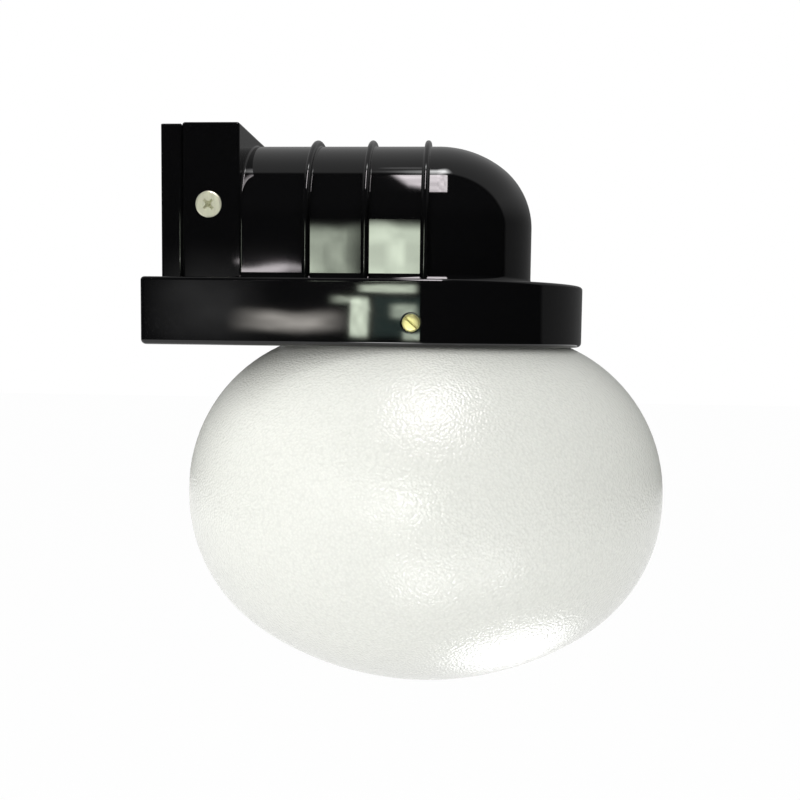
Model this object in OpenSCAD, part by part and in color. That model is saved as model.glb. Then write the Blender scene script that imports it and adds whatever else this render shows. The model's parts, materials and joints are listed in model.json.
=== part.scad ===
// Bracket wall light: a moulded elbow arm on a wall plate, with an oval glass
// globe held in a U-shaped gallery by three brass screws.
// X runs out of the wall, Z is up, and the origin is the middle of the wall plate's back.

/* [Wall plate] */
// Height of the wall plate
plate_h = 45.4; // [43:0.2:52]
// Depth of the wall plate from the wall to its front rim
plate_t = 6.4; // [5.4:0.1:9]
// Thickness of the wall plate's floor
plate_floor = 2.5; // [1.8:0.1:3.2]
// Width of the wall plate's rim
rim_w = 2.5; // [1.8:0.1:3]
// Distance between the wall holes along Y
hole_y = 37; // [33:0.5:40]
// Distance between the wall holes along Z
hole_z = 29; // [26:0.5:32]
// Diameter of each wall hole
hole_d = 4.5; // [3.5:0.1:5.5]
// Depth of the cable hole's centre below the origin
cable_drop = 12; // [11.5:0.1:12.5]
// Diameter of the hole for the cable bush
cable_hole_d = 12; // [10:0.5:12]
// Bore of the cable bush
bush_bore = 8; // [5:0.5:8.5]

/* [Flange] */
// Step from the arm's side out to the side of the box at its root
flange_step = 0.5; // [0.3:0.1:3]
// Step from the wall plate's edge out to the side of the box
plate_step = 0.1; // [0:0.05:0.6]
// Rise of the box above the wall plate
flange_over = 0.4; // [0:0.1:2]
// Depth of the box along X
flange_d = 17; // [16:0.5:24]
// Wall of the box
flange_wall = 2.6; // [2:0.1:3.2]
// Rounding of the box and plate edges
edge_r = 0.8; // [0.4:0.1:1.4]

/* [Arm] */
// Width of the arm
arm_w = 59.2; // [54:0.2:60]
// Drop from the top of the box to the top of the arm
crown_drop = 2; // [1:0.1:4]
// Rise of the arch
arch_rise = 25.8; // [23:0.1:27]
// Distance of the elbow's axis from the wall
elbow_x = 80.7; // [79:0.1:84]
// Wall of the arm and elbow
arm_wall = 2.5; // [2:0.1:3]
// Fillet where the arm meets the gallery
arm_fillet = 2.5; // [1:0.1:3]

/* [Ribs] */
// Number of ribs round the arm
rib_n = 3; // [1:1:3]
// Distance of the first rib from the wall
rib_x = 42.9; // [36:0.1:44]
// Distance from rib to rib
rib_pitch = 17.3; // [10:0.1:18]
// Width of a rib
rib_w = 1.8; // [1.2:0.1:3]
// Height of a rib above the arm
rib_h = 1.9; // [1.2:0.1:2.6]

/* [Gallery] */
// Radius of the gallery's round front
gallery_r = 49.1; // [48.4:0.1:52]
// Distance of the gallery's axis from the wall
gallery_x = 77.4; // [76.5:0.1:79]
// Height of the gallery
gallery_h = 18.7; // [17:0.1:24]
// Wall of the gallery's skirt
skirt_wall = 3; // [2.6:0.1:3.6]
// Thickness of the gallery's top
gallery_top = 2.5; // [2:0.1:3]
// Rounding of the skirt's lower edge
skirt_edge_r = 1.4; // [0.6:0.1:1.4]
// Thickness of the collar behind the globe's neck
collar_wall = 2.5; // [2:0.1:3]

/* [Globe] */
// Largest diameter of the globe
globe_d = 150; // [140:1:152]
// Height of the globe's oval body
globe_h = 115.6; // [108:0.2:120]
// Radius of the globe at its widest
globe_side_r = 49; // [44:0.5:52]
// Height of the oval's crown above the gallery's lower edge
globe_rise = 11.1; // [6:0.1:11.2]
// Gap between the neck and the gallery's skirt
neck_gap = 4.1; // [3.8:0.1:6]
// Radius of the bead round the neck's mouth
bead_r = 1.7; // [1.2:0.1:1.9]
// Thickness of the glass
glass_t = 2.2; // [1.6:0.1:3]
// Fillet between neck and body
neck_fillet = 3; // [2:0.1:3.4]
// Thickness of the gasket above the neck
gasket_t = 1.6; // [1:0.1:2.4]

/* [Gallery screws] */
// Height of the screws above the skirt's lower edge
screw_up = 6.7; // [5.8:0.1:7.4]
// Distance of the side screws behind the gallery's axis
screw_back = 2.5; // [0:0.1:6]
// Diameter of a gallery screw's head
grip_head_d = 4.5; // [4:0.1:5.4]
// Height of a gallery screw's head
grip_head_h = 1.4; // [1:0.1:1.6]
// Diameter of a gallery screw's shank
grip_shank_d = 3; // [2.4:0.1:3.2]
// Depth of a gallery screw's head below the skirt
grip_sink = 0.2; // [0:0.1:0.3]
// Diameter of the brass sleeve round a gallery screw
sleeve_d = 5; // [4.6:0.1:5.2]
// Thickness of the pads inside the skirt
pad_h = 1.5; // [1.2:0.1:1.8]

/* [Housing screws] */
// Distance of the housing screws from the wall
side_screw_x = 14.2; // [13.5:0.1:15]
// Height of the housing screws above the origin
side_screw_z = -0.6; // [-1.5:0.1:1.5]
// Diameter of a countersunk head
sunk_head_d = 7.7; // [7:0.1:8.4]
// Diameter of a housing screw's shank
side_shank_d = 4; // [3:0.1:4.2]
// Length of a housing screw
side_screw_l = 12; // [9:0.5:13]

/* [Lampholder] */
// Height of the strap's bridge above the origin
bridge_z = 5.6; // [4.8:0.1:6.4]
// Thickness of the strap
strap_t = 1.2; // [0.8:0.1:1.5]
// Width of the strap
strap_w = 12; // [11:0.5:14]
// Distance between the outsides of the strap's legs
strap_span = 42; // [40.6:0.2:43]
// Space between the strap's bosses and the opening in the gallery's top
boss_gap = 0.9; // [0.7:0.1:1.6]
// Outer diameter of the lampholder
holder_d = 35; // [34:0.2:36]
// Height of the lampholder's cap
holder_cap_h = 17; // [16:0.2:18]
// Height of the lampholder's skirt
holder_skirt_h = 29; // [26:0.5:32]
// Diameter of the lamp's screw cap
lamp_cap_d = 26.2; // [25.6:0.1:26.4]
// Diameter of the lamp's bulb
bulb_d = 45; // [40:1:60]
// Diameter of the hollow nipple
nipple_d = 10; // [9:0.1:10.4]

/* [Wiring] */
// Length of the terminal block
block_l = 16; // [14:0.5:16]
// Distance between the terminal block's poles
pole_pitch = 10; // [9.8:0.1:11]
// Diameter of a lead
lead_d = 2; // [1.4:0.1:2.2]

/* [Hidden] */
$fn = 72;

// Overlap that makes cuts and joins run right through
eps = 0.5;
// Running gap of a screw in its sleeve
running_gap = 0.05;
// Gap between parts that are set close but don't touch
near_gap = 0.3;
// Gap round a piece that is pushed into a hole
push_gap = 0.02;
// Further than any part reaches
reach = 200;
// Slot of a small screw
slot_w = 0.7;
slot_depth = 0.7;

flange_w = arm_w + 2 * flange_step;
flange_h = plate_h + flange_over;
plate_w = flange_w - 2 * plate_step;
gallery_top_z = -plate_h / 2;
gallery_low_z = gallery_top_z - gallery_h;
gallery_roof_z = gallery_top_z - gallery_top;
skirt_in_r = gallery_r - skirt_wall;
flange_front_x = plate_t + flange_d;
spring_z = gallery_top_z + flange_h - crown_drop - arch_rise;
arm_half = arm_w / 2;
// This shoulder keeps the three-centred arch close to half an ellipse
shoulder_r = 1.5 * arch_rise - 0.5 * arm_half;
screw_z = gallery_low_z + screw_up;
neck_r = skirt_in_r - neck_gap;

// Crown radius of a three-centred oval with half span a, half height b and side radius s,
// and the angle at which its side and crown arcs meet
function crown_r(a, b, s) = ((a - s) * (a - s) + b * b - s * s) / (2 * (b - s));
function crown_angle(a, b, s) = atan2(crown_r(a, b, s) - b, a - s);

// A three-centred oval about the origin. Its side arcs are grown by meet, so that in a thin
// wall they cross the crown arcs and leave no sliver between them
module oval(a, b, s, meet = 0) {
    r = crown_r(a, b, s);
    t = crown_angle(a, b, s);
    reach = 1.5 * r / sin(t);
    for (m = [-1, 1]) {
        intersection() {
            translate([0, m * (b - r)]) circle(r, $fn = 160);
            translate([0, m * (b - r)])
                polygon([[0, 0], reach * [cos(t), m * sin(t)], reach * [-cos(t), m * sin(t)]]);
        }
        translate([m * (a - s), 0]) circle(s + meet, $fn = 120);
    }
}

// The arm's outline seen along X, drawn in by inset, standing on height foot
module arch(inset, foot) {
    half = arm_half - inset;
    intersection() {
        translate([0, spring_z]) oval(half, arch_rise - inset, shoulder_r - inset);
        translate([-half - eps, spring_z]) square([2 * (half + eps), arch_rise + eps]);
    }
    translate([-half, foot]) square([2 * half, spring_z - foot]);
}

// Turns a shape drawn in Y and Z so that it is pushed along X
module along_x(x, length) {
    translate([x, 0, 0]) rotate([90, 0, 90]) linear_extrude(length) children();
}

// Joins rings of points, all of the same number, into one closed solid
module loft(rings) {
    n = len(rings);
    m = len(rings[0]);
    walls = [for (i = [0:n - 2], k = [0:m - 1])
        [i * m + k, (i + 1) * m + k, (i + 1) * m + (k + 1) % m, i * m + (k + 1) % m]];
    ends = [[for (k = [0:m - 1]) k], [for (k = [m - 1:-1:0]) (n - 1) * m + k]];
    polyhedron(points = [for (ring = rings) each ring], faces = concat(walls, ends));
}

// A rectangle with rounded corners, from its lower left corner
module round_rect(w, h, r) {
    translate([r, 0]) square([w - 2 * r, h]);
    translate([0, r]) square([w, h - 2 * r]);
    for (x = [r, w - r], y = [r, h - r]) translate([x, y]) circle(r, $fn = 32);
}

// A block with rounded edges, from its lowest corner
module soft_block(size, r) {
    intersection() {
        linear_extrude(size[2]) round_rect(size[0], size[1], r);
        rotate([90, 0, 90]) linear_extrude(size[0]) round_rect(size[1], size[2], r);
        translate([0, size[1], 0]) rotate([90, 0, 0])
            linear_extrude(size[1]) round_rect(size[0], size[2], r);
    }
}

// The space between a corner at the origin and an arc of radius r in the first quadrant
module fillet(r) {
    difference() {
        translate([-eps, -eps]) square(r + eps);
        translate([r, r]) circle(r, $fn = 48);
    }
}

// The half of the plane right of its upright axis
module right_half() {
    translate([0, -reach]) square(2 * reach);
}

// A cylinder along +X from x0 to x1
module rod_x(r, x0, x1) {
    translate([x0, 0, 0]) rotate([0, 90, 0]) cylinder(r = r, h = x1 - x0);
}

// Places a part at each gallery screw, with +X pointing out through the skirt
module at_front_screw() { translate([gallery_x, 0, screw_z]) children(); }
module at_side_screw(side) {
    translate([gallery_x - screw_back, 0, screw_z]) rotate([0, 0, side * 90]) children();
}
module at_gallery_screws() {
    at_front_screw() children();
    for (side = [-1, 1]) at_side_screw(side) children();
}

// Housing
skirt_top_r = 1;
pad_r = 4.4;
pad_face = skirt_in_r - pad_h;
bore_floor = gallery_r - grip_sink - grip_head_h - near_gap;
head_gap = 0.4;
counterbore_r = grip_head_d / 2 + head_gap;
collar_up = 1.5;
arm_start = 2;
boss_r = 3.2;
boss_h = 5;
boss_y = arm_half - arm_wall + boss_gap + boss_r;
strap_shank_r = 1.45;
sunk_r = sunk_head_d / 2;
sunk_rim = 0.4;
sunk_h = sunk_r - side_shank_d / 2 + sunk_rim;
sunk_proud = 0.25;

// Section of the gallery's solid, from inner to its right edge
module gallery_section(inner) {
    difference() {
        translate([inner, gallery_low_z]) square([gallery_r - inner, gallery_h]);
        translate([gallery_r, gallery_low_z]) rotate(90) fillet(skirt_edge_r);
        translate([gallery_r, gallery_top_z]) rotate(180) fillet(skirt_top_r);
        if (inner < 0) {
            translate([inner, gallery_low_z]) fillet(skirt_edge_r);
            translate([inner, gallery_top_z]) rotate(-90) fillet(skirt_top_r);
        }
    }
}

module gallery_block() {
    back_r = 1.4;
    intersection() {
        union() {
            translate([gallery_x, 0, 0]) rotate([0, 0, -90])
                rotate_extrude(angle = 180, $fn = 180) gallery_section(0);
            along_x(0, gallery_x) gallery_section(-gallery_r);
        }
        translate([0, -gallery_r, gallery_low_z - reach])
            linear_extrude(2 * reach) round_rect(gallery_x + 2 * gallery_r, 2 * gallery_r, back_r);
        translate([0, gallery_r + eps, gallery_low_z]) rotate([90, 0, 0])
            linear_extrude(2 * (gallery_r + eps))
                round_rect(gallery_x + 2 * gallery_r, gallery_h + reach, back_r);
    }
}

module arm_outside() {
    along_x(plate_t + arm_start, elbow_x - plate_t - arm_start) arch(0, gallery_roof_z + eps);
    translate([elbow_x, 0, 0]) rotate([0, 0, -90]) rotate_extrude(angle = 180, $fn = 144)
        intersection() {
            arch(0, gallery_roof_z + eps);
            right_half();
        }
}

module arm_ribs() {
    for (i = [0:rib_n - 1])
        along_x(rib_x + i * rib_pitch - rib_w / 2, rib_w) arch(-rib_h, gallery_roof_z + eps);
}

module arm_fillets() {
    along_x(flange_front_x - eps, elbow_x - flange_front_x + eps) for (m = [-1, 1])
        translate([m * arm_half, gallery_top_z]) rotate(45 - 45 * m) fillet(arm_fillet);
    translate([elbow_x, 0, 0]) rotate([0, 0, -90])
        rotate_extrude(angle = 180, $fn = 144) translate([arm_half, gallery_top_z]) fillet(arm_fillet);
}

// The space for wires and lampholder: box, tunnel and elbow
module arm_inside() {
    box_half = flange_w / 2 - flange_wall;
    translate([plate_t - eps, -box_half, gallery_top_z])
        cube([flange_d - flange_wall + eps, 2 * box_half, flange_h - flange_wall]);
    along_x(plate_t, elbow_x - plate_t) arch(arm_wall, gallery_top_z);
    translate([elbow_x, 0, 0]) rotate([0, 0, -90]) rotate_extrude(angle = 180, $fn = 144)
        intersection() {
            arch(arm_wall, gallery_low_z - eps);
            right_half();
        }
    translate([elbow_x, 0, gallery_roof_z - eps])
        cylinder(r = arm_half - arm_wall, h = gallery_top + 2 * eps, $fn = 144);
}

// The well for the globe's neck and the pocket behind its collar
module gallery_inside() {
    translate([gallery_x, 0, gallery_low_z - eps])
        cylinder(r = skirt_in_r, h = gallery_roof_z - gallery_low_z + eps, $fn = 180);
    difference() {
        translate([skirt_wall, -skirt_in_r, gallery_low_z - eps])
            cube([gallery_x - skirt_wall, 2 * skirt_in_r, gallery_roof_z - gallery_low_z + eps]);
        translate([gallery_x, 0, gallery_low_z + collar_up])
            cylinder(r = skirt_in_r + collar_wall, h = gallery_h, $fn = 180);
    }
}

module housing() {
    color([0.04, 0.04, 0.045]) difference() {
        union() {
            difference() {
                union() {
                    gallery_block();
                    arm_outside();
                    arm_ribs();
                    arm_fillets();
                    translate([plate_t, -flange_w / 2, gallery_roof_z])
                        soft_block([flange_d, flange_w, flange_h + gallery_top], edge_r);
                }
                arm_inside();
                gallery_inside();
            }
            at_gallery_screws() rod_x(pad_r, pad_face, skirt_in_r + eps);
            for (m = [-1, 1]) translate([gallery_x, m * boss_y, gallery_roof_z - boss_h])
                cylinder(r = boss_r, h = boss_h + eps);
        }
        at_gallery_screws() {
            rod_x(sleeve_d / 2, pad_face - eps, bore_floor);
            rod_x(counterbore_r, bore_floor, gallery_r + eps);
        }
        for (m = [-1, 1]) {
            translate([gallery_x, m * boss_y, gallery_roof_z - boss_h - eps])
                cylinder(r = strap_shank_r + running_gap, h = boss_h + eps);
            translate([side_screw_x, 0, side_screw_z]) rotate([0, 0, m * 90]) {
                rod_x(side_shank_d / 2 + near_gap,
                      flange_w / 2 - flange_wall - eps, flange_w / 2 + eps);
                translate([flange_w / 2 + sunk_proud, 0, 0])
                    rotate([0, 90, 0]) sunk_head(push_gap, eps);
            }
        }
    }
}

// Wall plate
lug_w = 12;
lug_face = flange_w / 2 - flange_wall - near_gap;
lug_l = 8.4;
lug_front_gap = 1.2;
lug_sleeve_wall = 0.9;
lug_sleeve_r = side_shank_d / 2 + lug_sleeve_wall;
lug_sleeve_l = 6;
tray_corner_r = 1;
block_z = 5;
block_fix_r = 1.3;

module wall_plate() {
    color([0.05, 0.05, 0.055]) difference() {
        union() {
            difference() {
                translate([0, -plate_w / 2, -plate_h / 2])
                    soft_block([plate_t, plate_w, plate_h], edge_r);
                translate([plate_floor, rim_w - plate_w / 2, rim_w - plate_h / 2]) rotate([90, 0, 90])
                    linear_extrude(plate_t)
                        round_rect(plate_w - 2 * rim_w, plate_h - 2 * rim_w, tray_corner_r);
            }
            for (m = [-1, 1]) translate([plate_floor - eps, m * (lug_face - lug_l / 2) - lug_l / 2,
                                         side_screw_z - lug_w / 2])
                cube([flange_front_x - flange_wall - lug_front_gap - plate_floor + eps, lug_l, lug_w]);
        }
        for (y = [-hole_y, hole_y] / 2, z = [-hole_z, hole_z] / 2)
            translate([0, y, z]) rod_x(hole_d / 2, -eps, plate_t + eps);
        translate([0, 0, -cable_drop]) rod_x(cable_hole_d / 2, -eps, plate_t + eps);
        translate([0, 0, block_z]) rod_x(block_fix_r, -eps, plate_t);
        for (m = [-1, 1]) translate([side_screw_x, 0, side_screw_z]) rotate([0, 0, m * 90]) {
            rod_x(lug_sleeve_r, lug_face - lug_sleeve_l, lug_face + eps);
            rod_x(side_shank_d / 2 + near_gap, lug_face - lug_l - eps, lug_face);
        }
    }
}

// A countersunk head below the origin, grown by gap and with its rim drawn up by rise
module sunk_head(gap, rise) {
    translate([0, 0, -sunk_h])
        cylinder(r1 = side_shank_d / 2 + gap, r2 = sunk_r + gap, h = sunk_h - sunk_rim);
    translate([0, 0, -sunk_rim]) cylinder(r = sunk_r + gap, h = sunk_rim + rise);
}

// Share of a cross recess's radius that is its wings' width, its floor and its mouth
wing_share = 0.36;
floor_share = 0.3;
mouth_share = 0.5;
recess_depth = 1.5;
recess_r = 0.5 * sunk_r;

// A cross recess with four wings round a tapering middle
module cross_recess(r, depth) {
    for (a = [0, 90]) rotate([0, 0, a]) linear_extrude(depth + eps)
        square([2 * r, wing_share * r], center = true);
    cylinder(r1 = floor_share * r, r2 = mouth_share * r, h = depth + eps);
}

module housing_screws() {
    color([0.78, 0.76, 0.62]) for (m = [-1, 1])
        translate([side_screw_x, 0, side_screw_z]) rotate([0, 0, m * 90])
            translate([flange_w / 2 + sunk_proud, 0, 0]) rotate([0, 90, 0]) difference() {
                union() {
                    sunk_head(0, 0);
                    translate([0, 0, -side_screw_l])
                        cylinder(r = side_shank_d / 2, h = side_screw_l - sunk_h + eps);
                }
                translate([0, 0, -recess_depth]) cross_recess(recess_r, recess_depth);
            }
}

module lug_sleeves() {
    color([0.75, 0.6, 0.25]) for (m = [-1, 1])
        translate([side_screw_x, 0, side_screw_z]) rotate([0, 0, m * 90]) difference() {
            rod_x(lug_sleeve_r - push_gap, lug_face - lug_sleeve_l, lug_face);
            rod_x(side_shank_d / 2 + running_gap, lug_face - lug_sleeve_l - eps, lug_face + eps);
        }
}

// The bush stops short of the wall, and its lip lies on the plate's floor
bush_back = 0.4;
bush_lip = 1.6;

module cable_bush() {
    color([0.12, 0.12, 0.12]) translate([0, 0, -cable_drop]) difference() {
        union() {
            rod_x(cable_hole_d / 2 - push_gap, bush_back, plate_floor);
            rod_x(cable_hole_d / 2 + bush_lip, plate_floor, plate_floor + bush_lip);
        }
        rod_x(bush_bore / 2, 0, plate_floor + bush_lip + eps);
    }
}

// Gallery screws and sleeves
grip_out = gallery_r - grip_sink;
grip_tip = neck_r + near_gap;
grip_slot_turn = 40;

module gallery_screw() {
    color([0.85, 0.68, 0.25]) difference() {
        union() {
            rod_x(grip_head_d / 2, grip_out - grip_head_h, grip_out);
            rod_x(grip_shank_d / 2, grip_tip, grip_out - grip_head_h / 2);
        }
        rotate([grip_slot_turn, 0, 0]) translate([grip_out - slot_depth, -grip_head_d, -slot_w / 2])
            cube([slot_depth + eps, 2 * grip_head_d, slot_w]);
    }
}

module front_gallery_screw() { at_front_screw() gallery_screw(); }
module near_gallery_screw() { at_side_screw(-1) gallery_screw(); }
module far_gallery_screw() { at_side_screw(1) gallery_screw(); }

module gallery_sleeves() {
    color([0.75, 0.6, 0.25]) at_gallery_screws() difference() {
        rod_x(sleeve_d / 2 - push_gap, pad_face, bore_floor);
        rod_x(grip_shank_d / 2 + running_gap, pad_face - eps, bore_floor + eps);
    }
}

// Globe
globe_half = globe_h / 2;
globe_z = gallery_low_z + globe_rise - globe_half;
neck_top_z = gallery_roof_z - gasket_t;
bead_x = neck_r + 0.1;
gasket_over = 0.5;
gasket_in = 0.2;
arc_meet = 0.003;

// The right half of the globe's oval, drawn in by inset
module globe_oval(inset) {
    intersection() {
        oval(globe_d / 2 - inset, globe_half - inset, globe_side_r - inset, arc_meet);
        right_half();
    }
}

module globe() {
    crown = crown_r(globe_d / 2, globe_half, globe_side_r);
    crown_z = globe_z + globe_half - crown;
    fillet_x = neck_r + neck_fillet;
    fillet_z = crown_z + sqrt(pow(crown + neck_fillet, 2) - fillet_x * fillet_x);
    color([0.9, 0.92, 0.88, 0.6]) translate([gallery_x, 0, 0]) rotate_extrude($fn = 180) difference() {
        union() {
            translate([0, globe_z]) globe_oval(0);
            translate([0, globe_z]) square([neck_r, neck_top_z - bead_r - globe_z]);
            translate([0, neck_top_z - 2 * bead_r]) square([bead_x, 2 * bead_r]);
            translate([bead_x, neck_top_z - bead_r]) circle(bead_r, $fn = 48);
            difference() {
                translate([0, globe_z]) square([fillet_x, fillet_z - globe_z]);
                translate([fillet_x, fillet_z]) circle(neck_fillet, $fn = 72);
            }
        }
        translate([0, globe_z]) globe_oval(glass_t);
        translate([0, globe_z]) square([neck_r - glass_t, neck_top_z - globe_z + eps]);
    }
}

module globe_gasket() {
    color([0.1, 0.1, 0.1]) translate([gallery_x, 0, neck_top_z]) difference() {
        cylinder(r = bead_x + bead_r + gasket_over, h = gasket_t, $fn = 144);
        translate([0, 0, -eps])
            cylinder(r = neck_r - glass_t - gasket_in, h = gasket_t + 2 * eps, $fn = 144);
    }
}

// Strap that carries the lampholder
foot_z = gallery_roof_z - boss_h - strap_t;
foot_over = 2.9;
foot_end = boss_y + foot_over;
strap_hole_gap = 0.25;
strap_bend = 2.4;

module strap() {
    half = strap_span / 2;
    tall = bridge_z + strap_t - foot_z;
    below = 2 * strap_bend;
    color([0.7, 0.7, 0.72]) difference() {
        along_x(gallery_x - strap_w / 2, strap_w) {
            difference() {
                intersection() {
                    union() {
                        translate([-half, foot_z - below])
                            round_rect(strap_span, tall + below, strap_bend);
                        translate([-foot_end, foot_z]) square([2 * foot_end, strap_t]);
                    }
                    translate([-foot_end, foot_z]) square([2 * foot_end, tall]);
                }
                translate([strap_t - half, foot_z - below])
                    round_rect(strap_span - 2 * strap_t, tall + below - strap_t, strap_bend - strap_t);
            }
        }
        translate([gallery_x, 0, bridge_z - eps])
            cylinder(r = nipple_d / 2 + 0.1, h = strap_t + 2 * eps);
        for (m = [-1, 1]) translate([gallery_x, m * boss_y, foot_z - eps])
            cylinder(r = strap_shank_r + strap_hole_gap, h = strap_t + 2 * eps);
    }
}

// A pan head screw that points up, with its head's seat at the origin
module pan_screw(shank_r, shank_l, head_r, head_h) {
    difference() {
        union() {
            cylinder(r = shank_r, h = shank_l);
            rotate_extrude() intersection() {
                translate([0, head_r - head_h]) circle(head_r * 1.02);
                translate([0, -head_h]) square([head_r, head_h]);
            }
        }
        translate([0, 0, -head_h - eps]) linear_extrude(eps + slot_depth)
            square([3 * head_r, slot_w], center = true);
    }
}

strap_head_r = 2.7;
strap_head_h = 1.9;
strap_screw_short = 0.8;

module strap_screws() {
    color([0.8, 0.78, 0.65]) for (m = [-1, 1]) translate([gallery_x, m * boss_y, foot_z])
        pan_screw(strap_shank_r, strap_t + boss_h - strap_screw_short, strap_head_r, strap_head_h);
}

// Lampholder, measured down from the strap's bridge
cap_wall = 2;
cap_top = 2.5;
cap_shoulder = 4;
cap_step = 3;
nipple_up = 6.5;
nipple_wall = 1.4;
nut_h = 3;
nut_af = 14;
holder_gap = 0.1;
holder_r = holder_d / 2;
insert_z = bridge_z - holder_cap_h;
insert_t = 3;
insert_r = holder_r - cap_wall - holder_gap;
dais_r = 12.5;
dais_h = 3;
nose_h = 3.5;
nose_gap = 0.4;
shell_t = 0.8;
shell_r = lamp_cap_d / 2 + shell_t + 0.5;
shell_l = 22;
skirt_lip = 1.2;
skirt_lip_h = 3;

module nipple() {
    color([0.8, 0.78, 0.6]) translate([gallery_x, 0, bridge_z - cap_top]) difference() {
        cylinder(r = nipple_d / 2, h = cap_top + nipple_up);
        translate([0, 0, -eps])
            cylinder(r = nipple_d / 2 - nipple_wall, h = cap_top + nipple_up + 2 * eps);
    }
}

module nipple_nut() {
    color([0.8, 0.8, 0.8]) translate([gallery_x, 0, bridge_z + strap_t]) difference() {
        cylinder(r = nut_af / sqrt(3), h = nut_h, $fn = 6);
        translate([0, 0, -eps]) cylinder(r = nipple_d / 2 + running_gap, h = nut_h + 2 * eps);
    }
}

module holder_cap() {
    color([0.93, 0.92, 0.88]) translate([gallery_x, 0, insert_z]) rotate_extrude() difference() {
        union() {
            square([holder_r, holder_cap_h - cap_shoulder]);
            square([holder_r - cap_shoulder, holder_cap_h]);
            translate([holder_r - cap_shoulder, holder_cap_h - cap_shoulder]) intersection() {
                circle(cap_shoulder);
                square(cap_shoulder);
            }
        }
        translate([0, -eps]) square([holder_r - cap_wall, holder_cap_h - cap_shoulder + eps]);
        translate([0, -eps]) square([holder_r - cap_wall - cap_step, holder_cap_h - cap_top + eps]);
        square([nipple_d / 2 + running_gap, holder_cap_h + eps]);
    }
}

module holder_insert() {
    color([0.95, 0.94, 0.9]) translate([gallery_x, 0, insert_z]) {
        translate([0, 0, -insert_t]) cylinder(r = insert_r, h = insert_t);
        cylinder(r = dais_r, h = dais_h);
        translate([0, 0, -insert_t - nose_h]) cylinder(r = shell_r - shell_t - nose_gap, h = nose_h);
    }
}

module holder_skirt() {
    color([0.93, 0.92, 0.88]) translate([gallery_x, 0, insert_z - holder_skirt_h]) difference() {
        union() {
            cylinder(r = holder_r, h = holder_skirt_h);
            cylinder(r = holder_r + skirt_lip, h = skirt_lip_h);
        }
        translate([0, 0, -eps]) cylinder(r = shell_r + 2 * holder_gap, h = holder_skirt_h + 2 * eps);
        translate([0, 0, holder_skirt_h - insert_t])
            cylinder(r = insert_r + holder_gap, h = insert_t + eps);
    }
}

module holder_shell() {
    color([0.85, 0.7, 0.35]) translate([gallery_x, 0, insert_z - insert_t - shell_l]) difference() {
        cylinder(r = shell_r, h = shell_l);
        translate([0, 0, -eps]) cylinder(r = shell_r - shell_t, h = shell_l + 2 * eps);
    }
}

contact_z = insert_z - insert_t - nose_h;
contact_w = 5;
contact_t = 0.5;
contact_sag = 2.1;
contact_bow_r = 4.6;
contact_half = 3.4;
contact_root = 1.5;
contact_join = 2;
contact_tail = 9;
lamp_gap = 0.3;
lamp_tip_z = contact_z - contact_sag - lamp_gap;

// A bent tongue: a tail under the insert and a bow that presses on the lamp
module centre_contact() {
    color([0.85, 0.7, 0.35]) along_x(gallery_x - contact_w / 2, contact_w) translate([0, contact_z]) {
        translate([contact_root, -contact_t]) square([contact_tail - contact_root, contact_t]);
        intersection() {
            translate([0, contact_bow_r - contact_sag]) difference() {
                circle(contact_bow_r);
                circle(contact_bow_r - contact_t);
            }
            translate([-contact_half, -2 * contact_sag])
                square([2 * contact_half, 2 * contact_sag - contact_t]);
        }
        translate([contact_root, -1.8 * contact_t]) square([contact_join, contact_t]);
    }
}

terminal_y = 7.5;
terminal_z = insert_z + dais_h;
terminal_w = 6;
terminal_h = 5;
wire_hole_up = 1.5;
wire_gap = 0.2;
clamp_up = 2.6;
clamp_r = 1.25;
clamp_head_r = 1.9;
clamp_head_h = 1.4;

module holder_terminals() {
    color([0.8, 0.65, 0.3]) for (m = [-1, 1]) translate([gallery_x, m * terminal_y, terminal_z])
        difference() {
            translate([-terminal_w / 2, -terminal_h / 2, 0]) cube([terminal_w, terminal_h, terminal_h]);
            translate([0, 0, wire_hole_up]) cylinder(r = lead_d / 2 + wire_gap, h = terminal_h);
            translate([0, 0, clamp_up]) rotate([0, 0, m * 90])
                rod_x(clamp_r + running_gap, eps, terminal_h / 2 + eps);
        }
}

module holder_screws() {
    head_x = terminal_h / 2;
    color([0.8, 0.78, 0.65]) for (m = [-1, 1])
        translate([gallery_x, m * terminal_y, terminal_z + clamp_up])
            rotate([0, 0, m * 90]) difference() {
                union() {
                    rod_x(clamp_r, lead_d / 2 + wire_gap, head_x + clamp_head_h / 2);
                    rod_x(clamp_head_r, head_x, head_x + clamp_head_h);
                }
                translate([head_x + clamp_head_h - slot_depth, -clamp_head_r - eps, -slot_w / 2])
                    cube([slot_depth + eps, 2 * (clamp_head_r + eps), slot_w]);
            }
}

// Lamp, measured down from the tip of its screw cap
lamp_cap_l = 22;
lamp_neck_r = 12.4;
lamp_cone_r = 5;
lamp_cone_h = 4;
lamp_button_r = 4;
lamp_button_h = 1;
bulb_drop = 25;

module lamp() {
    cap_r = lamp_cap_d / 2;
    bulb_z = lamp_tip_z - bulb_drop - bulb_d / 2;
    color([0.95, 0.94, 0.9]) translate([gallery_x, 0, 0]) rotate_extrude() {
        translate([0, lamp_tip_z - lamp_cap_l]) polygon([
            [0, 0], [cap_r, 0], [cap_r, lamp_cap_l - lamp_cone_h],
            [lamp_cone_r, lamp_cap_l - lamp_button_h], [lamp_button_r, lamp_cap_l], [0, lamp_cap_l]]);
        translate([0, bulb_z]) square([lamp_neck_r, lamp_tip_z - lamp_cap_l - bulb_z + eps]);
        translate([0, bulb_z]) intersection() {
            circle(bulb_d / 2, $fn = 96);
            right_half();
        }
    }
}

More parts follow.
